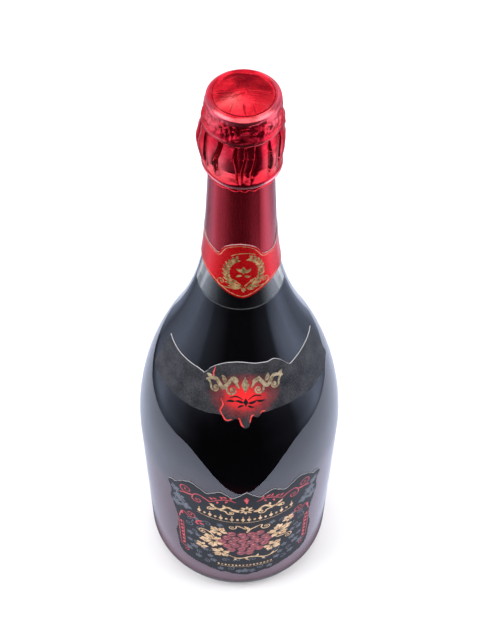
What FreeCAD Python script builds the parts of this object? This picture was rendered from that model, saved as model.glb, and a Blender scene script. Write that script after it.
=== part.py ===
import FreeCAD, Part
import math
import os
import re
import Sketcher

# Bottle of sangria, standing upright: millimetres, +Z up, front label towards -Y.
# Origin: centre of the ring the bottle stands on.

os.makedirs("parts", exist_ok=True)
doc = FreeCAD.newDocument("sangria_bottle")
sheet = doc.addObject("Spreadsheet::Sheet", "sizes")

NAMED = (
    # glass body
    ("body_radius", "45.8"),
    ("wall_flare", "1.2 deg"),
    ("shoulder_height", "97.2"),
    ("heel_radius", "10"),
    ("shoulder_arc", "158"),
    ("sweep_arc", "164"),
    ("neck_radius", "13.7"),
    ("neck_taper", "2.9 deg"),
    ("neck_length", "53.5"),
    ("glass_wall", "4.3"),
    # hollow foot
    ("foot_ring_width", "5"),
    ("punt_height", "24"),
    ("punt_wall", "7"),
    # drink
    ("drink_below_neck", "33"),
    ("drink_clearance", "0.05"),
    # foil sleeve on the neck
    ("foil_thickness", "0.3"),
    ("sleeve_below_neck", "10"),
    ("sleeve_below_mouth", "1"),
    # paper of all three labels
    ("paper_thickness", "0.3"),
    ("label_clearance", "0.02"),
    # front label, from above the heel to above the start of the shoulder
    ("label_half_turn", "48.2 deg"),
    ("label_above_heel", "7.7"),
    ("label_on_shoulder", "5"),
    # shoulder label, measured up or down from where the outline bends
    ("band_half_turn", "82 deg"),
    ("band_above_bend", "1.3"),
    ("band_below_bend", "16.7"),
    ("crest_rise", "8.1"),
    ("crest_half_width", "18"),
    ("drip_drop", "4.6"),
    ("drip_half_width", "6.5"),
    # collar label, measured up or down from the start of the neck
    ("arch_above_neck", "6"),
    ("arch_half_width", "9"),
    ("dip_below_neck", "2.2"),
    ("collar_above_neck", "2"),
    ("collar_below_neck", "15"),
    ("tip_below_neck", "23.2"),
    # hood: heights from the mouth, radii beyond the sleeve at the mouth
    ("hood_clearance", "0.05"),
    ("hood_above_mouth", "17"),
    ("disc_overhang", "0.1"),
    ("rim_overhang", "1.1"),
    ("rim_rise", "0.5"),
    ("bevel_overhang", "2.7"),
    ("bevel_drop", "3.2"),
    ("wire_above_mouth", "7.5"),
    ("wire_overhang", "3.9"),
    ("belly_below_mouth", "6"),
    ("belly_overhang", "4.4"),
    ("hem_below_mouth", "15.5"),
    ("hem_overhang", "3.8"),
    ("edge_below_mouth", "20.5"),
    ("edge_overhang", "2.3"),
    ("pleat_count", "14"),
    ("pleat_depth", "0.75"),
    ("crumple_depth", "0.3"),
)

# Edge of the front label, one half: share of its half turn, share of its height.
LABEL_EDGE = (
    (0.0, 1.0),
    (0.154, 0.941),
    (0.274, 0.988),
    (0.456, 0.948),
    (0.664, 0.998),
    (0.871, 0.917),
    (1.0, 0.896),
    (0.96, 0.785),
    (0.979, 0.72),
    (0.89, 0.512),
    (0.942, 0.317),
    (0.919, 0.157),
    (0.861, 0.086),
    (0.498, 0.053),
    (0.27, 0.025),
    (0.0, 0.0),
)

# The glass outline seen from the side: wall, shoulder arc, sweep arc, neck.
DERIVED = (
    ("shoulder_turn", "=acos((shoulder_arc + sweep_arc * cos(neck_taper) - body_radius"
     " + neck_radius) / (shoulder_arc + sweep_arc))"),
    ("shoulder_middle", "=body_radius - shoulder_arc"),
    ("bend_radius", "=shoulder_middle + shoulder_arc * cos(shoulder_turn)"),
    ("bend_height", "=shoulder_height + shoulder_arc * sin(shoulder_turn)"),
    ("sweep_middle", "=bend_radius + sweep_arc * cos(shoulder_turn)"),
    ("sweep_height", "=bend_height + sweep_arc * sin(shoulder_turn)"),
    ("heel_middle", "=shoulder_middle + shoulder_arc / cos(wall_flare)"
     " - (shoulder_height - heel_radius) * tan(wall_flare)"
     " - heel_radius / cos(wall_flare)"),
    ("punt_radius", "=heel_middle - foot_ring_width"),
    ("neck_height", "=sweep_height - sweep_arc * sin(neck_taper)"),
    ("mouth_height", "=neck_height + neck_length"),
    ("mouth_radius", "=neck_radius - neck_length * tan(neck_taper)"),
    ("drink_level", "=neck_height - drink_below_neck"),
    ("sleeve_bottom", "=neck_height - sleeve_below_neck"),
    ("sleeve_top", "=mouth_height - sleeve_below_mouth"),
    ("label_foot", "=heel_radius + label_above_heel"),
    ("label_top", "=shoulder_height + label_on_shoulder"),
    ("band_top", "=bend_height + band_above_bend"),
    ("band_bottom", "=bend_height - band_below_bend"),
    ("crest_height", "=band_top + crest_rise"),
    ("drip_height", "=band_bottom - drip_drop"),
    ("arch_height", "=neck_height + arch_above_neck"),
    ("dip_height", "=neck_height - dip_below_neck"),
    ("collar_top", "=neck_height + collar_above_neck"),
    ("collar_bottom", "=neck_height - collar_below_neck"),
    ("tip_height", "=neck_height - tip_below_neck"),
    ("hood_base_radius", "=mouth_radius + foil_thickness"),
    ("hood_top", "=mouth_height + hood_above_mouth"),
    ("wire_height", "=mouth_height + wire_above_mouth"),
    ("belly_height", "=mouth_height - belly_below_mouth"),
    ("hem_height", "=mouth_height - hem_below_mouth"),
    ("edge_height", "=mouth_height - edge_below_mouth"),
)

row = 0
for name, value in NAMED:
    row += 1
    sheet.set("A%d" % row, name)
    sheet.set("B%d" % row, "=" + value)
    sheet.setAlias("B%d" % row, name)
for name, value in DERIVED:
    row += 1
    sheet.set("A%d" % row, name)
    sheet.set("B%d" % row, value)
    sheet.setAlias("B%d" % row, name)
doc.recompute()


def size(name):
    """Value of a named size, as a plain number (millimetres or degrees)."""
    value = getattr(sheet, name)
    return float(getattr(value, "Value", value))


def evaluate(text):
    """Value of a formula that is written with named sizes."""
    value = sheet.evalExpression(text)
    return float(getattr(value, "Value", value))


def linked(text):
    """The same formula, readable from outside the sheet."""
    return re.sub(r"[a-z_]+", lambda word: PREFIXED.get(word.group(), word.group()), text)


PREFIXED = {name: "sizes." + name for name, value in NAMED + DERIVED}


class Outline:
    """Closed sketch outline whose corners are pinned to formulas of named sizes."""

    def __init__(self, body, plane, name, mirrored=False):
        self.sketch = body.newObject("Sketcher::SketchObject", name)
        origin = [f for f in body.Origin.OriginFeatures if f.Role == plane][0]
        self.sketch.AttachmentSupport = [(origin, "")]
        self.sketch.MapMode = "FlatFace"
        self.sign = -1.0 if mirrored else 1.0
        self.first = None
        self.last = None

    def pin(self, geometry, end, across, up):
        """Hold one end of a curve at (across, up) from the sketch origin."""
        for kind, text in (("DistanceX", across), ("DistanceY", up)):
            side = self.sign if kind == "DistanceX" else 1.0
            value = evaluate(text) * side
            reverse = value < 0
            ends = (geometry, end, -1, 1) if reverse else (-1, 1, geometry, end)
            index = self.sketch.addConstraint(Sketcher.Constraint(kind, *ends, abs(value)))
            sign = "-" if reverse != (side < 0) else ""
            self.sketch.setExpression("Constraints[%d]" % index, sign + "(" + linked(text) + ")")

    def start(self, across, up):
        self.first = (across, up)
        self.last = (across, up)

    def vector(self, point):
        return FreeCAD.Vector(self.sign * evaluate(point[0]), evaluate(point[1]), 0)

    def line(self, across, up):
        """Straight side from the last corner to (across, up)."""
        point = (across, up)
        index = self.sketch.addGeometry(Part.LineSegment(self.vector(self.last), self.vector(point)))
        self.pin(index, 1, *self.last)
        self.pin(index, 2, *point)
        self.last = point

    def arc(self, across, up, radius, middle_across, middle_up):
        """Arc from the last corner to (across, up) round a given middle."""
        point = (across, up)
        a = self.vector(self.last)
        b = self.vector(point)
        middle = self.vector((middle_across, middle_up))
        value = evaluate(radius)
        turn_a = math.atan2(a.y - middle.y, a.x - middle.x)
        turn_b = math.atan2(b.y - middle.y, b.x - middle.x)
        forward = (turn_b - turn_a) % (2.0 * math.pi) <= math.pi
        low, high = (turn_a, turn_b) if forward else (turn_b, turn_a)
        circle = Part.Circle(middle, FreeCAD.Vector(0, 0, 1), value)
        index = self.sketch.addGeometry(Part.ArcOfCircle(circle, low, high))
        self.pin(index, 1 if forward else 2, *self.last)
        self.pin(index, 2 if forward else 1, *point)
        bound = self.sketch.addConstraint(Sketcher.Constraint("Radius", index, value))
        self.sketch.setExpression("Constraints[%d]" % bound, linked(radius))
        self.last = point

    def close(self):
        self.line(*self.first)


# Each curve of the glass outline, moved outwards by an offset (a formula).

def on_wall(offset, up):
    """Radius of the straight wall at a height."""
    return ("(shoulder_middle + (shoulder_arc + (%s)) / cos(wall_flare)"
            " - (shoulder_height - (%s)) * tan(wall_flare))" % (offset, up))


def on_shoulder(offset, up):
    """Radius of the rounded shoulder at a height."""
    return ("(shoulder_middle + sqrt((shoulder_arc + (%s)) ^ 2 - ((%s) - shoulder_height) ^ 2))"
            % (offset, up))


def on_sweep(offset, up):
    """Radius of the hollow sweep below the neck at a height."""
    return ("(sweep_middle - sqrt((sweep_arc - (%s)) ^ 2 - (sweep_height - (%s)) ^ 2))"
            % (offset, up))


def on_neck(offset, up):
    """Radius of the tapered neck at a height."""
    return ("(sweep_middle - (sweep_arc - (%s)) / cos(neck_taper)"
            " + (sweep_height - (%s)) * tan(neck_taper))" % (offset, up))


def wall_end(offset):
    """Where the wall runs into the shoulder."""
    reach = "(shoulder_arc + (%s))" % offset
    return ("(shoulder_middle + %s * cos(wall_flare))" % reach,
            "(shoulder_height - %s * sin(wall_flare))" % reach)


def bend(offset):
    """Where the shoulder turns into the sweep."""
    return ("(bend_radius + (%s) * cos(shoulder_turn))" % offset,
            "(bend_height + (%s) * sin(shoulder_turn))" % offset)


def neck_start(offset):
    """Where the sweep runs into the neck."""
    reach = "(sweep_arc - (%s))" % offset
    return ("(sweep_middle - %s * cos(neck_taper))" % reach,
            "(sweep_height - %s * sin(neck_taper))" % reach)


def shoulder_to(outline, offset, across, up):
    outline.arc(across, up, "shoulder_arc + (%s)" % offset, "shoulder_middle", "shoulder_height")


def sweep_to(outline, offset, across, up):
    outline.arc(across, up, "sweep_arc - (%s)" % offset, "sweep_middle", "sweep_height")


def heel_up(outline, offset):
    """Heel arc from the foot plane up to the wall."""
    reach = "(heel_radius + (%s))" % offset
    outline.arc("heel_middle + %s * cos(wall_flare)" % reach,
                "heel_radius - %s * sin(wall_flare)" % reach,
                reach, "heel_middle", "heel_radius")


def dome_down(outline, foot, top):
    """Dome from its top on the axis down to the foot of the inner radius."""
    rise = "((%s) - (%s))" % (top, foot)
    reach = "((punt_radius ^ 2 + %s ^ 2) / (2 * %s))" % (rise, rise)
    outline.arc("punt_radius", foot, reach, "0", "(%s) - %s" % (top, reach))


def new_body(name):
    body = doc.addObject("PartDesign::Body", name)
    body.Label = name
    return body


def turned(body, outline, name, angle=None, groove=False):
    """Turn an outline round the bottle's axis, wholly or by an angle each way."""
    kind = "PartDesign::Groove" if groove else "PartDesign::Revolution"
    feature = body.newObject(kind, name)
    feature.Profile = outline.sketch
    feature.ReferenceAxis = (outline.sketch, ["V_Axis"])
    feature.Angle = 360.0
    if angle:
        feature.Midplane = True
        feature.setExpression("Angle", "2 * (%s)" % linked(angle))
    outline.sketch.Visibility = False
    return feature


def cut_outside(body, corners, name, reach, reverse=False, both=False):
    """Cut away all that lies outside an outline drawn on the upright plane facing front."""
    outline = Outline(body, "XZ_Plane", name + "_outline")
    left, low, right, high = reach
    outline.start(left, low)
    outline.line(right, low)
    outline.line(right, high)
    outline.line(left, high)
    outline.close()
    outline.start(*corners[0])
    for corner in corners[1:]:
        outline.line(*corner)
    outline.close()
    pocket = body.newObject("PartDesign::Pocket", name)
    pocket.Profile = outline.sketch
    pocket.Type = "ThroughAll"
    pocket.Reversed = reverse
    pocket.Midplane = both
    outline.sketch.Visibility = False
    return pocket


# Glass: outside turned, then the hollow grooved out.
INNER = "-glass_wall"
glass = new_body("glass_bottle")
outside = Outline(glass, "XZ_Plane", "glass_outside")
outside.start("0", "punt_height")
dome_down(outside, "0", "punt_height")
outside.line("heel_middle", "0")
heel_up(outside, "0")
outside.line(*wall_end("0"))
shoulder_to(outside, "0", *bend("0"))
sweep_to(outside, "0", *neck_start("0"))
outside.line(on_neck("0", "mouth_height"), "mouth_height")
outside.line("0", "mouth_height")
outside.close()
turned(glass, outside, "glass_turned")
hollow = Outline(glass, "XZ_Plane", "glass_hollow")
hollow.start("0", "punt_height + punt_wall")
dome_down(hollow, "glass_wall", "punt_height + punt_wall")
hollow.line("heel_middle", "glass_wall")
heel_up(hollow, INNER)
hollow.line(*wall_end(INNER))
shoulder_to(hollow, INNER, *bend(INNER))
sweep_to(hollow, INNER, *neck_start(INNER))
hollow.line(on_neck(INNER, "mouth_height + 1"), "mouth_height + 1")
hollow.line("0", "mouth_height + 1")
hollow.close()
turned(glass, hollow, "glass_grooved", groove=True)

# Drink: fills the hollow up to its level.
FILL = "-glass_wall - drink_clearance"
drink = new_body("sangria")
filling = Outline(drink, "XZ_Plane", "drink_outline")
filling.start("0", "punt_height + punt_wall + drink_clearance")
dome_down(filling, "glass_wall + drink_clearance", "punt_height + punt_wall + drink_clearance")
filling.line("heel_middle", "glass_wall + drink_clearance")
heel_up(filling, FILL)
filling.line(*wall_end(FILL))
shoulder_to(filling, FILL, *bend(FILL))
sweep_to(filling, FILL, on_sweep(FILL, "drink_level"), "drink_level")
filling.line("0", "drink_level")
filling.close()
turned(drink, filling, "drink_turned")

# Foil sleeve: thin tube on the neck, from under the collar up into the hood.
SKIN = "foil_thickness"
sleeve = new_body("neck_foil")
tube = Outline(sleeve, "XZ_Plane", "sleeve_outline")
tube.start(on_sweep("0", "sleeve_bottom"), "sleeve_bottom")
tube.line(on_sweep(SKIN, "sleeve_bottom"), "sleeve_bottom")
sweep_to(tube, SKIN, *neck_start(SKIN))
tube.line(on_neck(SKIN, "sleeve_top"), "sleeve_top")
tube.line(on_neck("0", "sleeve_top"), "sleeve_top")
tube.line(*neck_start("0"))
sweep_to(tube, "0", *tube.first)
turned(sleeve, tube, "sleeve_turned")

# Collar label: lies on the sleeve above and on the glass below the sleeve's hem.
UNDER = "foil_thickness + label_clearance"
OVER = "foil_thickness + label_clearance + paper_thickness"
HEM = "sleeve_bottom - label_clearance"
collar = new_body("neck_label")
band = Outline(collar, "XZ_Plane", "collar_section")
COLLAR_LOW = "tip_height - 1"
COLLAR_HIGH = "arch_height + 1"
band.start(on_sweep("label_clearance", COLLAR_LOW), COLLAR_LOW)
band.line(on_sweep(OVER, COLLAR_LOW), COLLAR_LOW)
sweep_to(band, OVER, *neck_start(OVER))
band.line(on_neck(OVER, COLLAR_HIGH), COLLAR_HIGH)
band.line(on_neck(UNDER, COLLAR_HIGH), COLLAR_HIGH)
band.line(*neck_start(UNDER))
sweep_to(band, UNDER, on_sweep(UNDER, HEM), HEM)
band.line(on_sweep("label_clearance", HEM), HEM)
sweep_to(band, "label_clearance", *band.first)
turned(collar, band, "collar_turned")
ARCH = "arch_half_width"
SIDE = "body_radius"
RISE = "(arch_height - dip_height)"
FALL = "(collar_bottom - tip_height)"
front = []
for share in (-1.0, -0.85, -0.6, -0.3, 0.0, 0.3, 0.6, 0.85, 1.0):
    front.append(("%s * %s" % (ARCH, share),
                  "dip_height + %s * %s" % (RISE, round(math.cos(share * math.pi / 2), 4))))
front.append(("neck_radius", "collar_top"))
front.append((SIDE, "collar_top"))
front.append((SIDE, "collar_bottom"))
for share in (1.0, 0.85, 0.6, 0.3, 0.0, -0.3, -0.6, -0.85, -1.0):
    front.append(("(neck_radius + 2) * %s" % share,
                  "tip_height + %s * %s" % (FALL, round(1 - math.cos(share * math.pi / 2), 4))))
front.append(("-" + SIDE, "collar_bottom"))
front.append(("-" + SIDE, "collar_top"))
front.append(("-neck_radius", "collar_top"))
back = [("-" + SIDE, "collar_bottom"), (SIDE, "collar_bottom"),
        (SIDE, "collar_top"), ("-" + SIDE, "collar_top")]
COLLAR_REACH = ("-body_radius - 5", "tip_height - 5", "body_radius + 5", "arch_height + 5")
cut_outside(collar, front, "collar_front", COLLAR_REACH, reverse=True)
cut_outside(collar, back, "collar_back", COLLAR_REACH)

# Shoulder label: a band round the front of the shoulder with a crest and drips.
GAP = "label_clearance"
PAPER = "label_clearance + paper_thickness"
shoulder = new_body("shoulder_label")
patch = Outline(shoulder, "YZ_Plane", "shoulder_section", mirrored=True)
PATCH_LOW = "drip_height - 1"
PATCH_HIGH = "crest_height + 1"
patch.start(on_shoulder(GAP, PATCH_LOW), PATCH_LOW)
patch.line(on_shoulder(PAPER, PATCH_LOW), PATCH_LOW)
shoulder_to(patch, PAPER, *bend(PAPER))
sweep_to(patch, PAPER, on_sweep(PAPER, PATCH_HIGH), PATCH_HIGH)
patch.line(on_sweep(GAP, PATCH_HIGH), PATCH_HIGH)
sweep_to(patch, GAP, *bend(GAP))
shoulder_to(patch, GAP, *patch.first)
turned(shoulder, patch, "shoulder_turned", angle="band_half_turn")
CREST = "crest_half_width"
DRIP = "drip_half_width"
BASE = "band_bottom"
TOP = "band_top"
SLACK = "(band_bottom - drip_height)"
crest = [
    ("-body_radius", BASE), ("-%s * 1.8" % DRIP, "%s + 0.9" % BASE), ("-%s * 1.4" % DRIP, BASE),
    ("-%s * 1.1" % DRIP, "%s - %s * 0.35" % (BASE, SLACK)), ("-%s * 0.75" % DRIP, "%s - %s * 0.1" % (BASE, SLACK)),
    ("-%s * 0.35" % DRIP, "%s - %s * 0.2" % (BASE, SLACK)), ("-%s * 0.15" % DRIP, "%s - %s * 0.85" % (BASE, SLACK)),
    ("%s * 0.1" % DRIP, "drip_height"), ("%s * 0.35" % DRIP, "%s - %s * 0.8" % (BASE, SLACK)),
    ("%s * 0.5" % DRIP, "%s + 0.6" % BASE), ("%s * 0.75" % DRIP, "%s + 0.2" % BASE), (DRIP, "%s + 1.6" % BASE),
    ("%s * 2.4" % DRIP, "%s + 1.9" % BASE), ("body_radius", BASE),
    ("body_radius", TOP), (CREST, TOP), ("%s * 0.86" % CREST, "crest_height - 4.5"),
    ("%s * 0.68" % CREST, "crest_height - 1.9"), ("%s * 0.4" % CREST, "crest_height - 1.9"),
    ("%s * 0.1" % CREST, "crest_height - 0.5"), ("-%s * 0.2" % CREST, "crest_height"),
    ("-%s * 0.5" % CREST, "crest_height - 0.9"), ("-%s * 0.75" % CREST, "crest_height - 2.7"),
    ("-%s * 0.9" % CREST, "crest_height - 4.9"), ("-" + CREST, TOP), ("-body_radius", TOP),
]
SHOULDER_REACH = ("-body_radius - 5", "drip_height - 5", "body_radius + 5", "crest_height + 5")
cut_outside(shoulder, crest, "shoulder_trimmed", SHOULDER_REACH, both=True)

# Main label: the ornate panel on the front of the body.
main = new_body("main_label")
sheet_cut = Outline(main, "YZ_Plane", "main_section", mirrored=True)
MAIN_LOW = "label_foot - 1"
MAIN_HIGH = "label_top + 1"
sheet_cut.start(on_wall(GAP, MAIN_LOW), MAIN_LOW)
sheet_cut.line(on_wall(PAPER, MAIN_LOW), MAIN_LOW)
sheet_cut.line(*wall_end(PAPER))
shoulder_to(sheet_cut, PAPER, on_shoulder(PAPER, MAIN_HIGH), MAIN_HIGH)
sheet_cut.line(on_shoulder(GAP, MAIN_HIGH), MAIN_HIGH)
shoulder_to(sheet_cut, GAP, *wall_end(GAP))
sheet_cut.close()
turned(main, sheet_cut, "main_turned", angle="label_half_turn * 1.02")
edge = [("body_radius * sin(label_half_turn * %s)" % across,
         "label_foot + (label_top - label_foot) * %s" % up) for across, up in LABEL_EDGE]
edge += [("-" + across, up) for across, up in reversed(edge[1:-1])]
MAIN_REACH = ("-body_radius - 5", "label_foot - 5", "body_radius + 5", "label_top + 5")
cut_outside(main, edge, "main_trimmed", MAIN_REACH, both=True)

doc.recompute()


# Hood: crumpled foil over the closed mouth, solid above the glass.

def hood_ring(height, radius, pleat, crumple):
    """Closed wavy ring: rounded lobes between sharp pleats, with a slow unevenness."""
    count = int(size("pleat_count"))
    steps = count * 6
    points = []
    for step in range(steps):
        turn = 2.0 * math.pi * step / steps
        wander = turn + 0.16 * math.sin(3.0 * turn + 0.7) + 0.09 * math.sin(5.0 * turn)
        lobe = abs(math.sin(count * wander / 2.0)) - 0.64
        slow = math.sin(2.0 * turn + 0.4) + 0.6 * math.sin(5.0 * turn + height / 9.0)
        reach = radius + pleat * lobe + crumple * slow
        points.append(FreeCAD.Vector(reach * math.sin(turn), -reach * math.cos(turn), height))
    curve = Part.BSplineCurve()
    curve.interpolate(points, PeriodicFlag=True)
    return Part.Wire([curve.toShape()])


depth = size("pleat_depth")
uneven = size("crumple_depth")
inner = size("hood_base_radius")
top = size("hood_top")
rim = top - size("rim_rise")
bevel = top - size("bevel_drop")
wire = size("wire_height")
belly = size("belly_height")
hem = size("hem_height")
edge_reach = inner + size("edge_overhang")
hem_reach = inner + size("hem_overhang")
belly_reach = inner + size("belly_overhang")
wire_reach = inner + size("wire_overhang")
bevel_reach = inner + size("bevel_overhang")
rim_reach = inner + size("rim_overhang")
rings = [
    (size("edge_height"), edge_reach, 0.5 * depth, 0.5 * uneven),
    (hem - 1.2, hem_reach - 0.5, 0.7 * depth, 0.5 * uneven),
    (hem + 0.8, hem_reach + 0.2, 0.8 * depth, 0.5 * uneven),
    (belly - 3.5, belly_reach, depth, uneven),
    (belly + 4.0, belly_reach - 0.3, 0.8 * depth, uneven),
    (wire - 3.5, wire_reach - 0.5, 0.35 * depth, uneven),
    (wire, wire_reach, 0.2 * depth, 0.7 * uneven),
    (wire + 3.0, bevel_reach + 0.6, 0.1 * depth, 0.5 * uneven),
    (bevel, bevel_reach, 0.0, 0.2 * uneven),
    (rim, rim_reach, 0.0, 0.0),
]
skirt = Part.makeLoft([hood_ring(*ring) for ring in rings], True, False)
crown = Part.makeCone(rim_reach - 0.3, rim_reach - 0.9, 1.2 + top - rim,
                      FreeCAD.Vector(0, 0, rim - 1.2))
dish = Part.makeCylinder(inner + size("disc_overhang") - 0.6, 1.0,
                         FreeCAD.Vector(0, 0, top - 0.5 * size("rim_rise")))
bore_low = size("edge_height") - 1.0
bore_high = size("mouth_height") + size("hood_clearance")
margin = "foil_thickness + hood_clearance"
bore = Part.makeCone(evaluate(on_neck(margin, "edge_height - 1")),
                     evaluate(on_neck(margin, "mouth_height + hood_clearance")),
                     bore_high - bore_low, FreeCAD.Vector(0, 0, bore_low))
hood = doc.addObject("Part::Feature", "foil_hood")
hood.Label = "foil_hood"
hood.Shape = skirt.fuse(crown).cut(dish).cut(bore).removeSplitter()
doc.recompute()

PIECES = (glass, drink, sleeve, collar, shoulder, main, hood)
for item in doc.Objects:
    if "Invalid" in item.State or "Error" in item.State:
        raise RuntimeError("not built: " + item.Name)
for piece in PIECES:
    if piece.Shape.isNull() or not piece.Shape.isValid() or len(piece.Shape.Solids) != 1:
        raise RuntimeError("bad solid: " + piece.Label)
for piece in PIECES:
    piece.Shape.exportStep("parts/%s.step" % piece.Label)
    box = piece.Shape.BoundBox
    print(piece.Label, round(piece.Shape.Volume / 1000.0, 2), "ml",
          [round(v, 2) for v in (box.XMin, box.XMax, box.YMin, box.YMax, box.ZMin, box.ZMax)])
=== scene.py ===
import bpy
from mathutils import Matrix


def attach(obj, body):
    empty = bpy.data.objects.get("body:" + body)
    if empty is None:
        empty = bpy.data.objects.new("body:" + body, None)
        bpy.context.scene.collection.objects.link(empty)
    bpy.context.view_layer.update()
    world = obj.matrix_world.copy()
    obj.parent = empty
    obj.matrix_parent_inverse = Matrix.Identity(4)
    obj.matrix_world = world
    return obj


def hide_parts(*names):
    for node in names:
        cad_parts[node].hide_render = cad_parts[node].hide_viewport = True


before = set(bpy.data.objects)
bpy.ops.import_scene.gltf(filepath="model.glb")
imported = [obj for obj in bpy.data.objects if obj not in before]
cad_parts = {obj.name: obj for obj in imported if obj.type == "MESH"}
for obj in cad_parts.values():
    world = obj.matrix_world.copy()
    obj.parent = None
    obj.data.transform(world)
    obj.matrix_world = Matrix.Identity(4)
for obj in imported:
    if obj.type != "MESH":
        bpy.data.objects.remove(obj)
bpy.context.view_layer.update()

import functools
import math
import random

import bpy
import mathutils
import numpy as np
from mathutils.geometry import delaunay_2d_cdt

MM = 0.001
# ---------------------------------------------------------------- the glass outline, in mm
BODY = 45.8
FLARE = math.radians(1.2)
SHOULDER_Z = 97.2
HEEL = 10.0
SHOULDER_ARC = 158.0
SWEEP_ARC = 164.0
NECK = 13.7
TAPER = math.radians(2.9)
NECK_LENGTH = 53.5
WALL = 4.3
GAP = 0.02
FOIL = 0.3
SHEET = 0.3
PAPER = GAP + SHEET
COLLAR_FACE = FOIL + PAPER
TURN = math.acos((SHOULDER_ARC + SWEEP_ARC * math.cos(TAPER) - BODY + NECK) / (SHOULDER_ARC + SWEEP_ARC))
SHOULDER_R = BODY - SHOULDER_ARC
BEND_R = SHOULDER_R + SHOULDER_ARC * math.cos(TURN)
BEND_Z = SHOULDER_Z + SHOULDER_ARC * math.sin(TURN)
SWEEP_R = BEND_R + SWEEP_ARC * math.cos(TURN)
SWEEP_Z = BEND_Z + SWEEP_ARC * math.sin(TURN)
HEEL_R = (SHOULDER_R + SHOULDER_ARC / math.cos(FLARE) - (SHOULDER_Z - HEEL) * math.tan(FLARE)
          - HEEL / math.cos(FLARE))
NECK_Z = SWEEP_Z - SWEEP_ARC * math.sin(TAPER)
MOUTH_Z = NECK_Z + NECK_LENGTH
LEVEL_Z = NECK_Z - 33.0
PUNT = 24.0
PUNT_WALL = 7.0
PUNT_R = HEEL_R - 5.0
TOP_Z = MOUTH_Z + 17.0
WIRE_Z = MOUTH_Z + 6.1


def radius(z, out=0.0):
    """Radius of the glass surface moved outwards by out, at height z (an array)."""
    z = np.asarray(z, dtype=float)
    heel = HEEL_R + np.sqrt(np.maximum((HEEL + out) ** 2 - (HEEL - np.minimum(z, HEEL)) ** 2, 0.0))
    wall = SHOULDER_R + (SHOULDER_ARC + out) / math.cos(FLARE) - (SHOULDER_Z - z) * math.tan(FLARE)
    shoulder = SHOULDER_R + np.sqrt(np.maximum((SHOULDER_ARC + out) ** 2 - (z - SHOULDER_Z) ** 2, 0.0))
    sweep = SWEEP_R - np.sqrt(np.maximum((SWEEP_ARC - out) ** 2 - (SWEEP_Z - z) ** 2, 0.0))
    neck = SWEEP_R - (SWEEP_ARC - out) / math.cos(TAPER) + (SWEEP_Z - z) * math.tan(TAPER)
    low_end = HEEL - (HEEL + out) * math.sin(FLARE)
    wall_end = SHOULDER_Z - (SHOULDER_ARC + out) * math.sin(FLARE)
    bend = BEND_Z + out * math.sin(TURN)
    neck_start = SWEEP_Z - (SWEEP_ARC - out) * math.sin(TAPER)
    return np.select([z < low_end, z < wall_end, z < bend, z < neck_start],
                     [heel, wall, shoulder, sweep], neck)


def climb(value, start, end):
    """0 before start, 1 past end, and straight between them; end may lie below start."""
    return np.clip((value - start) / (end - start), 0.0, 1.0)


def round_turns(count, start=0.0):
    """Even turns right round, in radians."""
    return np.linspace(start, start + 2.0 * np.pi, count, endpoint=False)


def soften(values):
    """Round the corners of a closed line; the last axis runs along it."""
    return 0.25 * np.roll(values, 1, axis=-1) + 0.5 * values + 0.25 * np.roll(values, -1, axis=-1)


def soften_open(values):
    """Round the corners of an open line of points or numbers, in place, and keep its ends."""
    values[1:-1] = 0.25 * values[:-2] + 0.5 * values[1:-1] + 0.25 * values[2:]


def spin(reach, turn, height):
    """Points at a distance from the axis, turned from the front by radians."""
    return np.stack(np.broadcast_arrays(reach * np.sin(turn), -reach * np.cos(turn), height), axis=-1)


def place(turn, z, out):
    """Points on the glass surface moved outwards; turn is in degrees from the front."""
    return spin(radius(z, out), np.radians(turn), np.asarray(z, float))


# ---------------------------------------------------------------- mesh helpers

def make_mesh(name, verts, faces, materials, smooth=True, kinds=None):
    """Mesh object from points in mm; kinds gives each face's material."""
    mesh = bpy.data.meshes.new(name)
    mesh.from_pydata([tuple(v) for v in np.asarray(verts, float) * MM], [], [tuple(f) for f in faces])
    for material in materials:
        mesh.materials.append(material)
    if kinds:
        mesh.polygons.foreach_set("material_index", kinds)
    mesh.polygons.foreach_set("use_smooth", [smooth] * len(mesh.polygons))
    mesh.validate()
    mesh.update()
    piece = bpy.data.objects.new(name, mesh)
    bpy.context.collection.objects.link(piece)
    return piece


def ring_faces(rows, count, closed_rows=False):
    """Quads between rows of points that close round the axis."""
    faces = []
    pairs = rows if closed_rows else rows - 1
    for row in range(pairs):
        a = row * count
        b = ((row + 1) % rows) * count
        for i in range(count):
            j = (i + 1) % count
            faces.append((a + i, a + j, b + j, b + i))
    return faces


def revolve(name, profile, count, caps, material, marks=0.0):
    """Solid of revolution from (radius, height) rows; caps are the heights of its two middles."""
    reach = np.repeat(profile[:, :1], count, axis=1) - marks
    verts = spin(reach, round_turns(count), profile[:, 1:]).reshape(-1, 3)
    base = len(verts)
    last = base - count
    faces = ring_faces(len(profile), count)
    for i in range(count):
        j = (i + 1) % count
        faces += [(base, j, i), (base + 1, last + i, last + j)]
    return make_mesh(name, np.vstack([verts, [[0.0, 0.0, z] for z in caps]]), faces, [material])


def crease(piece, degrees):
    """Keep edges sharper than an angle as hard lines."""
    with bpy.context.temp_override(object=piece, selected_objects=[piece]):
        piece.data.set_sharp_from_angle(angle=math.radians(degrees))


# ---------------------------------------------------------------- node helpers

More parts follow.
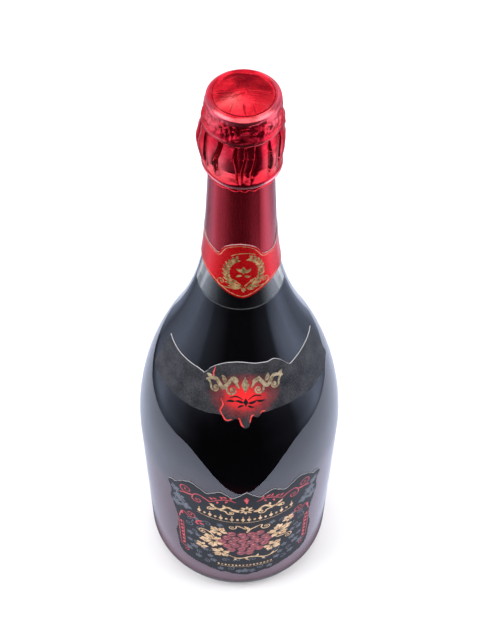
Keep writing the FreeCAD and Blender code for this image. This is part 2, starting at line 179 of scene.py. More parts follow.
class Shade:
    """Short names for the nodes of a material or of the world."""

    def __init__(self, tree):
        self.tree = tree

    def feed(self, socket, value):
        """Give a socket a number, a colour, or what another node puts out."""
        if isinstance(value, bpy.types.NodeSocket):
            self.tree.links.new(value, socket)
        elif socket.type == "RGBA":
            socket.default_value = (*value, 1.0)
        else:
            socket.default_value = value

    def node(self, kind, inputs, **settings):
        made = self.tree.nodes.new("ShaderNode" + kind)
        for key, value in settings.items():
            setattr(made, key, value)
        for key, value in inputs.items():
            self.feed(made.inputs[key], value)
        return made

    def maths(self, operation, a, b=0.0, clamp=False):
        return self.node("Math", {0: a, 1: b}, operation=operation, use_clamp=clamp).outputs["Value"]

    def add(self, a, b, clamp=False):
        return self.maths("ADD", a, b, clamp)

    def take(self, a, b):
        return self.maths("SUBTRACT", a, b)

    def times(self, a, b, clamp=False):
        return self.maths("MULTIPLY", a, b, clamp)

    def over(self, a, b, clamp=False):
        return self.maths("DIVIDE", a, b, clamp)

    def ramp(self, source, *stops, ease="LINEAR"):
        """Colour by stops of (position, colour); a plain number is a grey."""
        made = self.node("ValToRGB", {"Fac": source})
        made.color_ramp.interpolation = ease
        elements = made.color_ramp.elements
        while len(elements) < len(stops):
            elements.new(0.5)
        for element, (position, colour) in zip(elements, stops):
            element.position = position
            element.color = (*colour, 1.0) if isinstance(colour, tuple) else (colour, colour, colour, 1.0)
        return made.outputs["Color"]

    def mix(self, factor, a, b):
        """Blend two colours; sockets 6 and 7 are the Mix node's colours."""
        return self.node("Mix", {6: a, 7: b, 0: factor}, data_type="RGBA").outputs[2]

    def spread(self, source, low_value, high_value):
        """Map 0..1 onto a range."""
        inputs = {"Value": source, "To Min": low_value, "To Max": high_value}
        return self.node("MapRange", inputs).outputs["Result"]

    def axes(self, vector):
        return self.node("SeparateXYZ", {"Vector": vector}).outputs

    def distance(self, point, centre):
        return self.node("VectorMath", {0: point, 1: centre}, operation="DISTANCE").outputs["Value"]

    def length(self, vector, scale):
        """Length of a vector after stretching it."""
        stretched = self.node("VectorMath", {0: vector, 1: scale}, operation="MULTIPLY").outputs["Vector"]
        return self.node("VectorMath", {0: stretched}, operation="LENGTH").outputs["Value"]

    def here(self):
        """Place on the piece, in metres."""
        return self.node("TexCoord", {}).outputs["Object"]


class Paint(Shade):
    """Material of one piece."""

    def __init__(self, name):
        self.material = bpy.data.materials.new(name)
        self.material.use_nodes = True
        super().__init__(self.material.node_tree)
        self.shader = self.tree.nodes["Principled BSDF"]

    @functools.cached_property
    def point(self):
        """Place on the piece, in millimetres."""
        return self.millimetres((1.0, 1.0, 1.0))

    def millimetres(self, stretch):
        scale = [part / MM for part in stretch]
        return self.node("Mapping", {"Vector": self.here(), "Scale": scale}).outputs["Vector"]

    def noise(self, scale, detail=3.0, roughness=0.5):
        inputs = {"Vector": self.point, "Scale": scale, "Detail": detail, "Roughness": roughness}
        return self.node("TexNoise", inputs).outputs["Fac"]

    def wander(self, scale, detail, reach):
        """Noise about zero, in millimetres."""
        return self.times(self.take(self.noise(scale, detail), 0.5), reach)

    def cells(self, scale, feature="DISTANCE_TO_EDGE"):
        made = self.node("TexVoronoi", {"Vector": self.point, "Scale": scale}, feature=feature)
        return made.outputs["Distance"]

    def bump(self, height, strength, distance):
        made = self.node("Bump", {"Height": height, "Strength": strength, "Distance": distance})
        self.feed(self.shader.inputs["Normal"], made.outputs["Normal"])

    def finish(self, colour, rough, metal=0.0, coat=0.0, coat_rough=0.03, specular=0.5, ior=1.5):
        """Set the shader and give the material."""
        values = {"Base Color": colour, "Roughness": rough, "Metallic": metal, "Coat Weight": coat,
                  "Coat Roughness": coat_rough, "Specular IOR Level": specular, "IOR": ior}
        for key, value in values.items():
            self.feed(self.shader.inputs[key], value)
        return self.material


# ---------------------------------------------------------------- materials

def glass_material():
    """Clear glass with a slightly smoky tint."""
    paint = Paint("glass")
    paint.shader.inputs["Transmission Weight"].default_value = 1.0
    return paint.finish((0.86, 0.865, 0.85), 0.0, ior=1.52)


def drink_material():
    """Very dark red drink with painted light: a painted wine-red glow low down, where light comes in, fading
    to painted near-black shade higher up.
    """
    paint = Paint("sangria")
    height = paint.axes(paint.point)["Z"]
    # Painted light and shade by height: a wine-red glow low down, where light comes in, fading to near black
    # above.
    share = paint.over(paint.add(height, paint.wander(0.04, 2.0, 26.0)), 110.0, True)
    colour = paint.ramp(share, (0.0, (0.38, 0.18, 0.23)), (0.13, (0.36, 0.16, 0.20)),
                        (0.26, (0.19, 0.058, 0.070)), (0.74, (0.150, 0.036, 0.045)),
                        (0.89, (0.030, 0.004, 0.006)), (0.98, (0.0022, 0.0008, 0.0010)))
    lip = paint.ramp(paint.take(height, LEVEL_Z), (0.30, 0.0), (0.55, 1.0))
    return paint.finish(paint.mix(lip, colour, (0.16, 0.165, 0.18)), 0.03, specular=0.0, ior=1.34)


# Painted highlights on the hood's foil, as paler patches: turn, distance from the axis, height above the
# mouth, size, strength.
PAINTED_HIGHLIGHTS = (
    (-42, 16.0, -6.0, 11.0, 1.0), (46, 16.0, -5.0, 9.0, 0.9), (-60, 13.5, 13.0, 8.0, 0.9),
    (52, 13.5, 12.0, 7.0, 0.8), (-50, 5.0, 17.0, 5.5, 0.8), (150, 16.0, -4.0, 10.0, 0.7),
    (-140, 15.0, 8.0, 9.0, 0.7),
)


def painted_highlights(paint, patch):
    """Where the foil is painted paler as a highlight, from 0 to 1."""
    highlight_amount = 0.0
    for turn, out, above, reach, strength in PAINTED_HIGHLIGHTS:
        side = math.radians(turn)
        centre = (out * math.sin(side), -out * math.cos(side), MOUTH_Z + above)
        share = paint.over(paint.distance(paint.point, centre), reach, True)
        highlight_amount = paint.add(paint.ramp(share, (0.0, strength), (1.0, 0.0), ease="EASE"), highlight_amount, True)
    return paint.times(highlight_amount, paint.spread(patch, 0.5, 1.3), True)


def foil_wear(paint, base):
    """Bare cracks and specks in the lacquer."""
    crack = paint.ramp(paint.cells(0.13), (0.0, 0.6), (0.005, 0.4), (0.012, 0.0))
    torn = paint.ramp(paint.noise(0.30, 2.0), (0.52, 0.0), (0.64, 0.8))
    base = paint.mix(paint.times(crack, torn), base, (0.95, 0.28, 0.28))
    speck = paint.ramp(paint.cells(1.5, "F1"), (0.0, 1.0), (0.10, 1.0), (0.16, 0.0))
    sparse = paint.ramp(paint.noise(0.35, 2.0), (0.52, 0.0), (0.62, 0.7))
    return paint.mix(paint.times(speck, sparse), base, (0.90, 0.30, 0.30))


def hood_material():
    """Red lacquer over crumpled aluminium foil, greyish where wire shows through, with painted highlights:
    paler patches, a paler band on the rim and a pale line along the hem.
    """
    paint = Paint("hood_foil")
    fine = paint.noise(1.6, 5.0, 0.6)
    patch = paint.noise(0.22, 3.0)
    colour = paint.mix(patch, (0.76, 0.002, 0.024), (0.90, 0.018, 0.036))
    # Painted highlights: paler, pinker foil in patches where the foil shows bright.
    colour = paint.mix(painted_highlights(paint, patch), colour, (0.98, 0.15, 0.155))
    colour = foil_wear(paint, colour)
    height = paint.axes(paint.point)["Z"]
    off_wire = paint.maths("ABSOLUTE", paint.take(paint.add(height, paint.wander(0.12, 1.0, 2.2)), WIRE_Z))
    wire = paint.ramp(off_wire, (0.0, 0.55), (0.5, 0.25), (0.9, 0.0))
    wire = paint.times(wire, paint.spread(fine, 0.4, 1.4), True)
    colour = paint.mix(wire, colour, (0.42, 0.16, 0.15))
    # Painted highlight: a paler band on the rim's bevel, round the disc.
    off_axis = paint.over(paint.length(paint.point, (1.0, 1.0, 0.0)), 16.0)
    outer = paint.ramp(off_axis, (0.735, 0.0), (0.755, 0.75))
    upper = paint.ramp(paint.take(height, TOP_Z - 3.5), (0.2, 0.0), (1.0, 1.0))
    colour = paint.mix(paint.times(outer, upper), colour, (0.97, 0.14, 0.16))
    # Painted highlight: a pale line along the hem.
    off_hem = paint.maths("ABSOLUTE", paint.take(height, TOP_Z - 32.5))
    hem = paint.ramp(off_hem, (0.0, 0.85), (0.35, 0.7), (0.55, 0.0))
    colour = paint.mix(hem, colour, (0.92, 0.46, 0.44))
    creases = paint.ramp(paint.cells(0.42), (0.0, 0.0), (0.10, 1.0))
    paint.bump(paint.add(paint.times(creases, 0.30), paint.times(fine, 0.25)), 0.26, 0.00015)
    paint.shader.inputs["Specular Tint"].default_value = (1.0, 0.45, 0.42, 1.0)
    return paint.finish(colour, paint.spread(fine, 0.15, 0.27), 0.985, 0.22, 0.12)


def sleeve_material():
    """Satin dark red metallic foil with fine upright drawing lines."""
    paint = Paint("sleeve_foil")
    colour = paint.mix(paint.noise(0.09, 2.0), (0.50, 0.007, 0.020), (0.60, 0.010, 0.026))
    paint.point = paint.millimetres((1.0, 1.0, 0.02))
    streak = paint.noise(0.9, 4.0, 0.6)
    paint.bump(streak, 0.18, 0.00006)
    return paint.finish(colour, paint.spread(streak, 0.23, 0.31), 0.94, 0.25, 0.2)


def collar_material():
    """Bright red foil paper, glossy."""
    paint = Paint("red_paper")
    grain = paint.noise(2.5, 4.0, 0.6)
    colour = paint.mix(paint.noise(0.12, 2.0), (0.72, 0.003, 0.006), (0.86, 0.005, 0.010))
    paint.bump(grain, 0.15, 0.00005)
    return paint.finish(colour, paint.spread(grain, 0.22, 0.34), 0.72, 0.12, 0.1, 0.2)


def red_fade(paint, colour, grain):
    """Red glow of ink in the middle of the shoulder label."""
    middle = tuple(place(-0.6, 159.6, 0.0))
    offset = paint.node("VectorMath", {0: paint.point, 1: middle}, operation="SUBTRACT").outputs["Vector"]
    reach = paint.length(offset, (0.86, 0.95, 1.15))
    near = paint.over(paint.add(reach, paint.wander(0.25, 3.0, 5.0)), 15.0)
    amount = paint.ramp(near, (0.10, 1.0), (0.38, 0.80), (0.64, 0.28), (0.95, 0.0), ease="EASE")
    amount = paint.times(amount, paint.spread(grain, 0.75, 1.2), True)
    warm = paint.ramp(near, (0.0, (0.95, 0.008, 0.010)), (0.45, (0.55, 0.006, 0.010)),
                      (1.0, (0.16, 0.004, 0.006)))
    return paint.mix(amount, colour, warm)


def paper_material(name, dark, light, rough, fade=False):
    """Matt coated paper with fine grain; the shoulder label also has a red fade."""
    paint = Paint(name)
    grain = paint.noise(1.5, 4.0, 0.75)
    both = paint.add(paint.times(grain, 0.7), paint.times(paint.noise(0.16, 2.0), 0.3))
    colour = paint.ramp(both, (0.38, dark), (0.62, light))
    if fade:
        colour = red_fade(paint, colour, grain)
    paint.bump(grain, 0.55, 0.00012)
    return paint.finish(colour, paint.spread(grain, rough - 0.08, rough + 0.10), specular=0.26)


def edge_material():
    """Pale cut edge of a paper label."""
    paint = Paint("cut_edge")
    return paint.finish(paint.mix(paint.noise(3.0, 2.0), (0.30, 0.30, 0.32), (0.62, 0.62, 0.64)), 0.7)


def print_material(name, dark, light, metal, rough):
    """Printed or hot-stamped colour, slightly uneven."""
    paint = Paint(name + "_print")
    grain = paint.noise(0.55, 4.0, 0.7)
    paint.bump(grain, 0.2, 0.00006)
    colour = paint.ramp(grain, (0.38, dark), (0.60, light))
    return paint.finish(colour, paint.spread(grain, rough - 0.06, rough + 0.08), metal)


GLASS = glass_material()
DRINK = drink_material()
HOOD = hood_material()
SLEEVE = sleeve_material()
RED_PAPER = collar_material()
CHARCOAL = paper_material("charcoal_paper", (0.005, 0.005, 0.007), (0.048, 0.047, 0.053), 0.62, fade=True)
BLACK = paper_material("black_paper", (0.005, 0.005, 0.006), (0.012, 0.012, 0.014), 0.52)
CUT = edge_material()
GOLD = print_material("gold", (0.42, 0.22, 0.08), (0.90, 0.62, 0.34), 0.5, 0.34)
COLLAR_GOLD = print_material("collar_gold", (0.15, 0.07, 0.02), (0.66, 0.42, 0.18), 0.5, 0.34)
DULL_GOLD = print_material("dull_gold", (0.20, 0.14, 0.07), (0.55, 0.44, 0.29), 0.45, 0.38)
RED_INK = print_material("red", (0.42, 0.02, 0.03), (0.72, 0.065, 0.08), 0.1, 0.40)
BERRY = print_material("berry", (0.10, 0.003, 0.006), (0.34, 0.018, 0.024), 0.1, 0.32)
BERRY_LIGHT = print_material("berry_light", (0.36, 0.10, 0.10), (0.58, 0.24, 0.22), 0.1, 0.35)
DRIP_RED = print_material("drip_red", (0.62, 0.02, 0.02), (0.95, 0.10, 0.09), 0.1, 0.30)
GREY_INK = print_material("grey", (0.045, 0.050, 0.062), (0.105, 0.115, 0.140), 0.1, 0.42)


# ---------------------------------------------------------------- bottle and drink

def arc_points(middle, reach, start, end, steps):
    turn = np.linspace(start, end, steps)
    return np.stack([middle[0] + reach * np.cos(turn), middle[1] + reach * np.sin(turn)], axis=-1)


def dome(foot_r, foot_z, top_z, steps):
    """Dome in section, from the axis down to its foot."""
    rise = top_z - foot_z
    reach = (foot_r ** 2 + rise ** 2) / (2.0 * rise)
    middle = top_z - reach
    across = foot_r * np.sin(np.linspace(0.0, 0.5 * np.pi, steps))
    return np.stack([across, middle + np.sqrt(reach ** 2 - across ** 2)], axis=-1)


KNURLS = 72
KNURL_Z = 4.2
KNURL_DEPTH = 0.22


def build_bottle():
    """Hollow glass with a domed foot and a knurled heel."""
    under = dome(PUNT_R, 0.35, PUNT, 18)[1:]
    ring = np.array([[PUNT_R + 0.6, 0.08], [PUNT_R + 1.6, 0.0], [HEEL_R - 0.6, 0.0]])
    heel = arc_points((HEEL_R, HEEL), HEEL, -0.5 * np.pi, -FLARE, 26)
    out_z = np.concatenate([np.linspace(11.0, 100.0, 46), np.linspace(102.0, NECK_Z + 4.0, 70),
                            np.linspace(NECK_Z + 8.0, MOUTH_Z - 1.0, 12)])
    outer = np.stack([radius(out_z, 0.0), out_z], axis=-1)
    mouth_r = float(radius(MOUTH_Z, 0.0))
    lip = np.array([[mouth_r - 0.3, MOUTH_Z - 0.1], [mouth_r - 1.2, MOUTH_Z],
                    [mouth_r - WALL + 0.8, MOUTH_Z], [mouth_r - WALL + 0.1, MOUTH_Z - 0.6]])
    inner = np.stack([radius(out_z, -WALL), out_z], axis=-1)[::-1]
    trough = arc_points((HEEL_R, HEEL), HEEL - WALL, -FLARE, -0.5 * np.pi, 14)
    floor = dome(PUNT_R, WALL, PUNT + PUNT_WALL, 18)[::-1][:-1]
    profile = np.vstack([under, ring, heel, outer, lip, inner, trough, floor])
    count = 288
    turn = round_turns(count)
    marks = np.zeros((len(profile), count))
    first = len(under) + len(ring) + 1
    for index in range(first, first + len(heel) + 3):
        fade = math.exp(-((profile[index, 1] - KNURL_Z) / 2.1) ** 2)
        marks[index] = KNURL_DEPTH * fade * (np.cos(turn * KNURLS + (index % 2) * math.pi) > 0.1)
    return revolve("bottle", profile, count, (PUNT, PUNT + PUNT_WALL), GLASS, marks)


def build_drink():
    """Fills the hollow and reaches just into the glass; the level turns up at the wall."""
    reach_in = 0.3
    out = -WALL + reach_in
    floor = dome(PUNT_R, WALL - reach_in, PUNT + PUNT_WALL - reach_in, 18)[1:]
    trough = arc_points((HEEL_R, HEEL), HEEL + out, -0.5 * np.pi, -FLARE, 14)
    wall_z = np.linspace(11.0, LEVEL_Z + 0.9, 130)
    wall = np.stack([radius(wall_z, out), wall_z], axis=-1)
    level_r = float(radius(LEVEL_Z, out))
    rise = np.array([[level_r - d, LEVEL_Z + 0.95 * math.exp(-d / 0.9)]
                     for d in (0.25, 0.6, 1.1, 1.8, 2.8, 4.2, 6.5, 9.5, 12.5)])
    profile = np.vstack([floor, trough, wall, rise])
    return revolve("sangria_fill", profile, 224, (profile[0, 1], profile[-1, 1]), DRINK)


# ---------------------------------------------------------------- foil

# The hood's first rows, counted from the middle of its top, that take the disc's creases.
DISC_ROWS = 60
# How far the hood's foil may stand from the axis.
HOOD_LIMIT = 16.9
SLEEVE_FOOT = NECK_Z - 10.0


def fold(value):
    """Triangle wave between -1 and 1."""
    return 2.0 * np.abs(2.0 * (value - np.floor(value + 0.5))) - 1.0


def crumple(points, directions, seed):
    """Flat facets between sharp folds: a sum of triangle waves in random directions."""
    rng = np.random.default_rng(seed)
    total = np.zeros(points.shape[:-1])
    for wave_length, height, count in directions:
        for _ in range(count):
            way = rng.normal(size=3)
            way /= np.linalg.norm(way)
            offset = rng.uniform()
            bend = 0.35 * np.sin(points @ rng.normal(size=3) / (wave_length * 1.7) + rng.uniform(0, 6))
            total += height * fold(points @ way / wave_length + offset + bend) / count ** 0.5
    return total


# The hood's section: radius, height, row step, how far it crumples, how far it pleats.
HOOD_PROFILE = np.array([
    [0.0, 299.74, 1.0, 0.10, 0.0],
    [3.0, 299.71, 0.5, 0.10, 0.0],
    [6.0, 299.60, 0.5, 0.10, 0.0],
    [9.0, 299.44, 0.5, 0.08, 0.0],
    [11.0, 299.30, 0.3, 0.04, 0.0],
    [11.25, 299.48, 0.12, 0.02, 0.0],
    [11.45, 299.80, 0.12, 0.0, 0.0],
    [11.65, 299.88, 0.12, 0.0, 0.0],
    [11.9, 299.62, 0.12, 0.02, 0.0],
    [12.4, 299.20, 0.14, 0.04, 0.0],
    [12.9, 298.85, 0.2, 0.06, 0.0],
    [13.3, 298.60, 0.15, 0.02, 0.0],
    [13.42, 298.10, 0.25, 0.06, 0.0],
    [13.50, 297.00, 0.3, 0.35, 0.05],
    [13.80, 294.50, 0.3, 0.75, 0.1],
    [14.15, 292.00, 0.3, 0.70, 0.2],
    [14.50, 290.00, 0.3, 0.24, 0.4],
    [14.72, 289.10, 0.3, 0.08, 0.5],
    [14.60, 288.10, 0.3, 0.12, 0.7],
    [14.75, 286.00, 0.35, 0.22, 1.0],
    [15.05, 283.00, 0.35, 0.22, 1.0],
    [15.35, 280.00, 0.35, 0.16, 1.0],
    [15.45, 277.00, 0.35, 0.14, 1.0],
    [15.25, 274.00, 0.4, 0.10, 1.0],
    [14.95, 271.00, 0.4, 0.06, 0.7],
    [14.60, 268.60, 0.3, 0.02, 0.25],
    [14.74, 267.90, 0.12, 0.0, 0.1],
    [14.96, 267.50, 0.1, 0.0, 0.05],
    [14.90, 267.10, 0.1, 0.0, 0.05],
    [14.52, 266.85, 0.12, 0.0, 0.05],
    [14.25, 266.90, 0.15, 0.04, 0.1],
    [14.20, 266.30, 0.25, 0.12, 0.2],
    [14.15, 265.40, 0.3, 0.20, 0.3],
    [13.95, 264.50, 0.3, 0.22, 0.3],
    [13.65, 264.40, 0.2, 0.18, 0.2],
    [13.20, 265.30, 0.6, 0.10, 0.1],
    [12.72, 266.50, 0.8, 0.02, 0.0],
])
# Pleats: turn from the front, groove, skew of the lobe that follows, foot height, lean in degrees.
PLEATS = (
    (-163, 0.30, 0.5, 272, 2), (-139, 0.25, -0.5, 275, -3), (-114, 0.30, 0.6, 271, 3),
    (-90, 0.30, 0.6, 273, -2), (-64, 0.15, 1.0, 275, -4), (-42, 0.10, 2.1, 273, 5),
    (-13, 0.80, 0.2, 269, -4), (-3, 0.60, 0.5, 269, 4), (10, 0.75, -0.6, 271, 5),
    (36, 0.20, -1.5, 273, -1), (60, 0.20, -0.6, 274, 3), (91, 0.30, -0.6, 272, -2),
    (117, 0.25, 0.5, 270, 3), (143, 0.30, -0.5, 274, -2), (170, 0.30, 0.5, 271, 2),
)
# Fine creases on the disc: turn from the front, start, end, bow, height.
DISC_CREASES = (
    (-112, 4.2, 9.6, 0.5, 0.10), (100, 2.5, 9.8, -0.4, 0.10), (60, 1.5, 6.0, 0.5, 0.07),
    (-6, 5.0, 10.4, 0.2, 0.10), (24, 6.5, 10.2, -0.3, 0.07), (-42, 6.0, 10.3, 0.4, 0.06),
    (150, 4.5, 10.2, 0.3, 0.07), (-160, 3.0, 9.9, -0.4, 0.08), (172, 6.5, 10.3, 0.3, 0.05),
    (-80, 1.0, 5.0, 0.5, 0.06),
)


def pleated(turns, height):
    """Overlapping folds: each lobe swells and leans, so that one edge stands over the next lobe."""
    shift = np.zeros_like(turns)
    lines = []
    for at, groove, skew, foot, lean in PLEATS:
        wander = np.radians(lean * (height - 280.0) / 12.0 + 0.9 * np.sin(height * 0.55 + at))
        grip = climb(height, WIRE_Z - 0.4, WIRE_Z - 2.0)
        grip = grip * np.clip((height - foot) / 4.0 + 0.6, 0.06, 1.0)
        lines.append((math.radians(at) + wander, groove * grip, skew * grip))
    rise = np.sin(np.pi * climb(height, WIRE_Z, WIRE_Z - 21.5) ** 0.95)
    for (start, groove, skew), (end, next_groove, _) in zip(lines, lines[1:] + lines[:1]):
        width = (end - start) % (2.0 * np.pi)
        gone = (turns - start) % (2.0 * np.pi)
        share = np.clip(gone / width, 0.0, 1.0)
        arc = 15.4 * width
        sunk = groove * np.exp(-share * arc / 0.7)
        lip = 0.7 * next_groove * np.exp(-(1.0 - share) * arc / 0.8)
        pillow = 0.80 * (1.0 - np.abs(2.0 * share - 1.0) ** 2.6) * rise - 0.10
        shift = np.where(gone < width, pillow + skew * (share - 0.5) - sunk + lip, shift)
    return soften(shift)


def disc_relief(x, y, reach, facets):
    """Pressed waves and fine radial creases in the flat top."""
    relief = 0.05 * np.sin(0.42 * x + 0.25 * y + 0.6) + 0.04 * np.sin(0.55 * y - 0.5 * x) + 0.05 * facets
    turn = np.arctan2(x, -y)
    for at, start, end, bow, high in DISC_CREASES:
        line = math.radians(at) + bow * (reach - start) / 11.0
        across = ((turn - line + np.pi) % (2.0 * np.pi) - np.pi) * reach
        along = climb(reach, start, start + 1.2) * climb(reach, end, end - 1.2)
        fold_line = np.exp(-(across / 0.16) ** 2) - 0.6 * np.exp(-((across - 0.4) / 0.3) ** 2)
        relief = relief + high * along * fold_line
    return relief * climb(reach, 11.3, 10.3)


def hood_rows():
    """The hood's section in fine rows, with its corners rounded a little."""
    rows = [HOOD_PROFILE[0]]
    for a, b in zip(HOOD_PROFILE[:-1], HOOD_PROFILE[1:]):
        span = math.hypot(b[0] - a[0], b[1] - a[1])
        steps = max(1, int(round(span / max(0.5 * (a[2] + b[2]), 0.1))))
        for step in range(1, steps + 1):
            rows.append(a + (b - a) * step / steps)
    rows = np.array(rows)
    for _ in range(2):
        soften_open(rows[:, :2])
    rows[:, 1] += TOP_Z - 300.0
    return rows


def wire_lines(turns, height):
    """Two strands of wire round the rim and a fainter one lower down, pressed through the foil."""
    ring_z = WIRE_Z + 0.35 * np.sin(2.0 * turns + 0.5) + 0.15 * np.sin(9.0 * turns)
    shift = 0.30 * np.exp(-((height - ring_z - 0.42) / 0.24) ** 2)
    shift = shift + 0.26 * np.exp(-((height - ring_z + 0.42) / 0.24) ** 2)
    second = WIRE_Z - 5.6 + 0.5 * np.sin(2.0 * turns - 0.4)
    partial = 0.35 + 0.65 * np.clip(1.3 * np.sin(3.0 * turns + 1.9), 0.0, 1.0)
    return shift + 0.24 * partial * np.exp(-((height - second) / 0.28) ** 2)


def hood_waves(turns, height):
    """Slow unevenness of the skirt."""
    slow = 0.16 * np.sin(3.0 * turns + 1.2) + 0.10 * np.sin(5.0 * turns + 0.2 * height)
    middle = climb(height, 284.0, 278.0) * climb(height, 268.0, 283.0)
    slow = slow - 0.50 * middle * np.sin(turns + 0.2)
    return slow * climb(height, TOP_Z - 3.0, TOP_Z - 9.0)


def build_hood():
    """Foil pressed over the closed mouth: smooth rim, wire lines, pleated skirt, ragged hem."""
    rows = hood_rows()
    count = 576
    turn = round_turns(count, -np.pi)
    reach = np.repeat(rows[1:, :1], count, axis=1)
    height = np.repeat(rows[1:, 1:2], count, axis=1)
    turns = np.repeat(turn[None, :], len(rows) - 1, axis=0)
    base = spin(reach, turns, height)
    wide = crumple(base, [(8.5, 0.55, 4), (4.4, 0.30, 4)], 11)
    shards = crumple(base * np.array([1.0, 1.0, 1.1]), [(5.2, 0.62, 3), (2.7, 0.36, 4), (1.2, 0.09, 3)], 37)
    busy = 0.55 + 0.45 * np.clip(1.2 * np.cos(2.0 * (turns + 0.05)) + 0.25 * np.sin(5.0 * turns), 0.0, 1.0)
    shift = rows[1:, 3:4] * np.where(height > WIRE_Z, shards * busy * 1.25, wide * 0.9)
    shift = shift + rows[1:, 4:5] * pleated(turns, height)
    shift = shift + hood_waves(turns, height) + wire_lines(turns, height)
    on_disc = (height > TOP_Z - 2.0) * (np.arange(len(rows) - 1)[:, None] < DISC_ROWS)
    lift = disc_relief(base[..., 0], base[..., 1], reach, wide) * on_disc
    ragged = np.clip((TOP_Z - 33.7 - height) / 1.8, 0.0, 0.85)
    teeth = 0.5 * fold(turns * 9.0 / np.pi + 0.3 * np.sin(5.0 * turns)) + 0.22 * np.sin(23.0 * turns)
    lift = lift + ragged * teeth
    across = np.gradient(rows[:, 0])
    rise = np.gradient(rows[:, 1])
    slope = across / (np.hypot(across, rise) + 1e-6)
    side = 1.0 - 0.7 * np.abs(slope[1:, None])
    reach = np.minimum(reach + shift * side, HOOD_LIMIT)
    aside = 0.15 + 0.45 * climb(height, 280.0, 295.0) + 0.3 * climb(height, 271.0, 267.0)
    verts = spin(reach, turns, np.minimum(height + lift, TOP_Z + 0.02))
    verts[..., 0] += aside
    verts = verts.reshape(-1, 3)
    top = len(verts)
    faces = ring_faces(len(rows) - 1, count) + [(top, (i + 1) % count, i) for i in range(count)]
    faces = [tuple(reversed(face)) for face in faces]
    return make_mesh("foil_cap", np.vstack([verts, [[0.0, 0.0, rows[0, 1]]]]), faces, [HOOD])


def build_sleeve():
    """Thin foil tube with a long seam and slight upright waves."""
    z = np.concatenate([np.linspace(SLEEVE_FOOT, NECK_Z + 2.0, 14),
                        np.linspace(NECK_Z + 4.0, MOUTH_Z - 1.0, 60)])
    count = 240
    turns, heights = np.meshgrid(round_turns(count, -np.pi), z)
    gap = (turns - math.radians(26.0) + np.pi) % (2.0 * np.pi) - np.pi
    seam = 0.07 / (1.0 + np.exp(-gap * 120.0)) * np.exp(-np.clip(gap, 0.0, 9.0) * 3.0)
    wave = 0.035 * np.sin(7.0 * turns + 0.06 * heights) + 0.025 * np.sin(13.0 * turns + 0.6)
    outer = spin(radius(heights, FOIL) + wave + seam - 0.03, turns, heights)
    inner = spin(radius(heights, GAP), turns, heights)
    points = np.concatenate([outer, inner[::-1]])
    faces = ring_faces(len(points), count, True)
    return make_mesh("foil_sleeve", points.reshape(-1, 3), faces, [SLEEVE])


# ---------------------------------------------------------------- labels

def cut_sheet(name, turns, low_edge, high_edge, rows, faces_out, material, closed=False):
    """Label between two edges given at each turn; faces_out gives its back and front off the glass."""
    count = len(turns)
    share = np.linspace(0.0, 1.0, rows)[:, None]
    heights = low_edge * (1.0 - share) + high_edge * share
    back, front = [place(turns, heights, out) for out in faces_out(heights, turns)]
    step = rows * count
    faces = []
    kinds = []
    ends = count if closed else count - 1
    for row in range(rows - 1):
        for i in range(ends):
            j = (i + 1) % count
            a, b, c, d = row * count + i, row * count + j, (row + 1) * count + j, (row + 1) * count + i
            faces += [(a, b, c, d), (step + d, step + c, step + b, step + a)]
            kinds += [0, 1]
    top = (rows - 1) * count
    for i in range(ends):
        j = (i + 1) % count
        faces += [(step + i, step + j, j, i), (top + i, top + j, step + top + j, step + top + i)]
        kinds += [1, 1]
    if not closed:
        for row in range(rows - 1):
            a, b = row * count, (row + 1) * count
            faces.append((a, b, step + b, step + a))
            a, b = a + count - 1, b + count - 1
            faces.append((step + a, step + b, b, a))
            kinds += [1, 1]
    verts = np.concatenate([front.reshape(-1, 3), back.reshape(-1, 3)])
    piece = make_mesh(name, verts, faces, [material, CUT], kinds=kinds)
    crease(piece, 50)
    return piece


def edge_line(turns, points, passes, closed=False):
    """Edge through (turn, height) points, with its corners softened."""
    points = np.array(points, float)
    line = np.interp(turns, points[:, 0], points[:, 1])
    for _ in range(passes):
        if closed:
            line = soften(line)
        else:
            soften_open(line)
    return line


# The collar's upper and lower edge: turn from the front, height.
COLLAR_TOP = (
    (-180, 231.3), (-110, 231.3), (-86, 231.0), (-74, 229.6), (-57, 228.6), (-43, 227.6), (-39, 227.9),
    (-35.5, 230.2), (-29.5, 232.7), (-19.5, 234.4), (-5, 235.3), (9.5, 234.4), (19.5, 232.5),
    (26.8, 229.9), (31, 227.6), (35, 226.8), (44, 226.3), (55, 225.6), (62, 226.0), (67, 227.0),
    (77, 231.0), (86, 231.3), (180, 231.3),
)
COLLAR_LOW = (
    (-180, 214.6), (-110, 215.5), (-83, 216.2), (-66, 214.6), (-47.5, 212.6), (-34, 210.3),
    (-20, 208.0), (-8.5, 206.6), (-1.5, 206.1), (6.5, 206.6), (17, 208.0), (31.5, 209.8), (48, 211.3),
    (64, 212.0), (80, 212.0), (110, 213.6), (180, 214.6),
)

COLLAR_TURNS = np.linspace(-180.0, 180.0, 480, endpoint=False)
COLLAR_EDGES = [edge_line(COLLAR_TURNS, COLLAR_LOW, 8, True), edge_line(COLLAR_TURNS, COLLAR_TOP, 3, True)]


def collar_faces(heights, turns):
    """The collar steps over the sleeve's foot, and its overlapping end stands off a little."""
    over_sleeve = climb(heights, SLEEVE_FOOT, SLEEVE_FOOT + 0.8)
    lift = 0.10 * np.exp(-((turns - 66.0) / 7.0) ** 2) * (turns < 70.0)
    return GAP + FOIL * over_sleeve, COLLAR_FACE + lift


def build_collar():
    return cut_sheet("collar", COLLAR_TURNS, *COLLAR_EDGES, 26, collar_faces, RED_PAPER, True)


def body_faces(heights, turns):
    """The body's labels lie flat on the glass, the same at every height and turn."""
    return GAP, PAPER


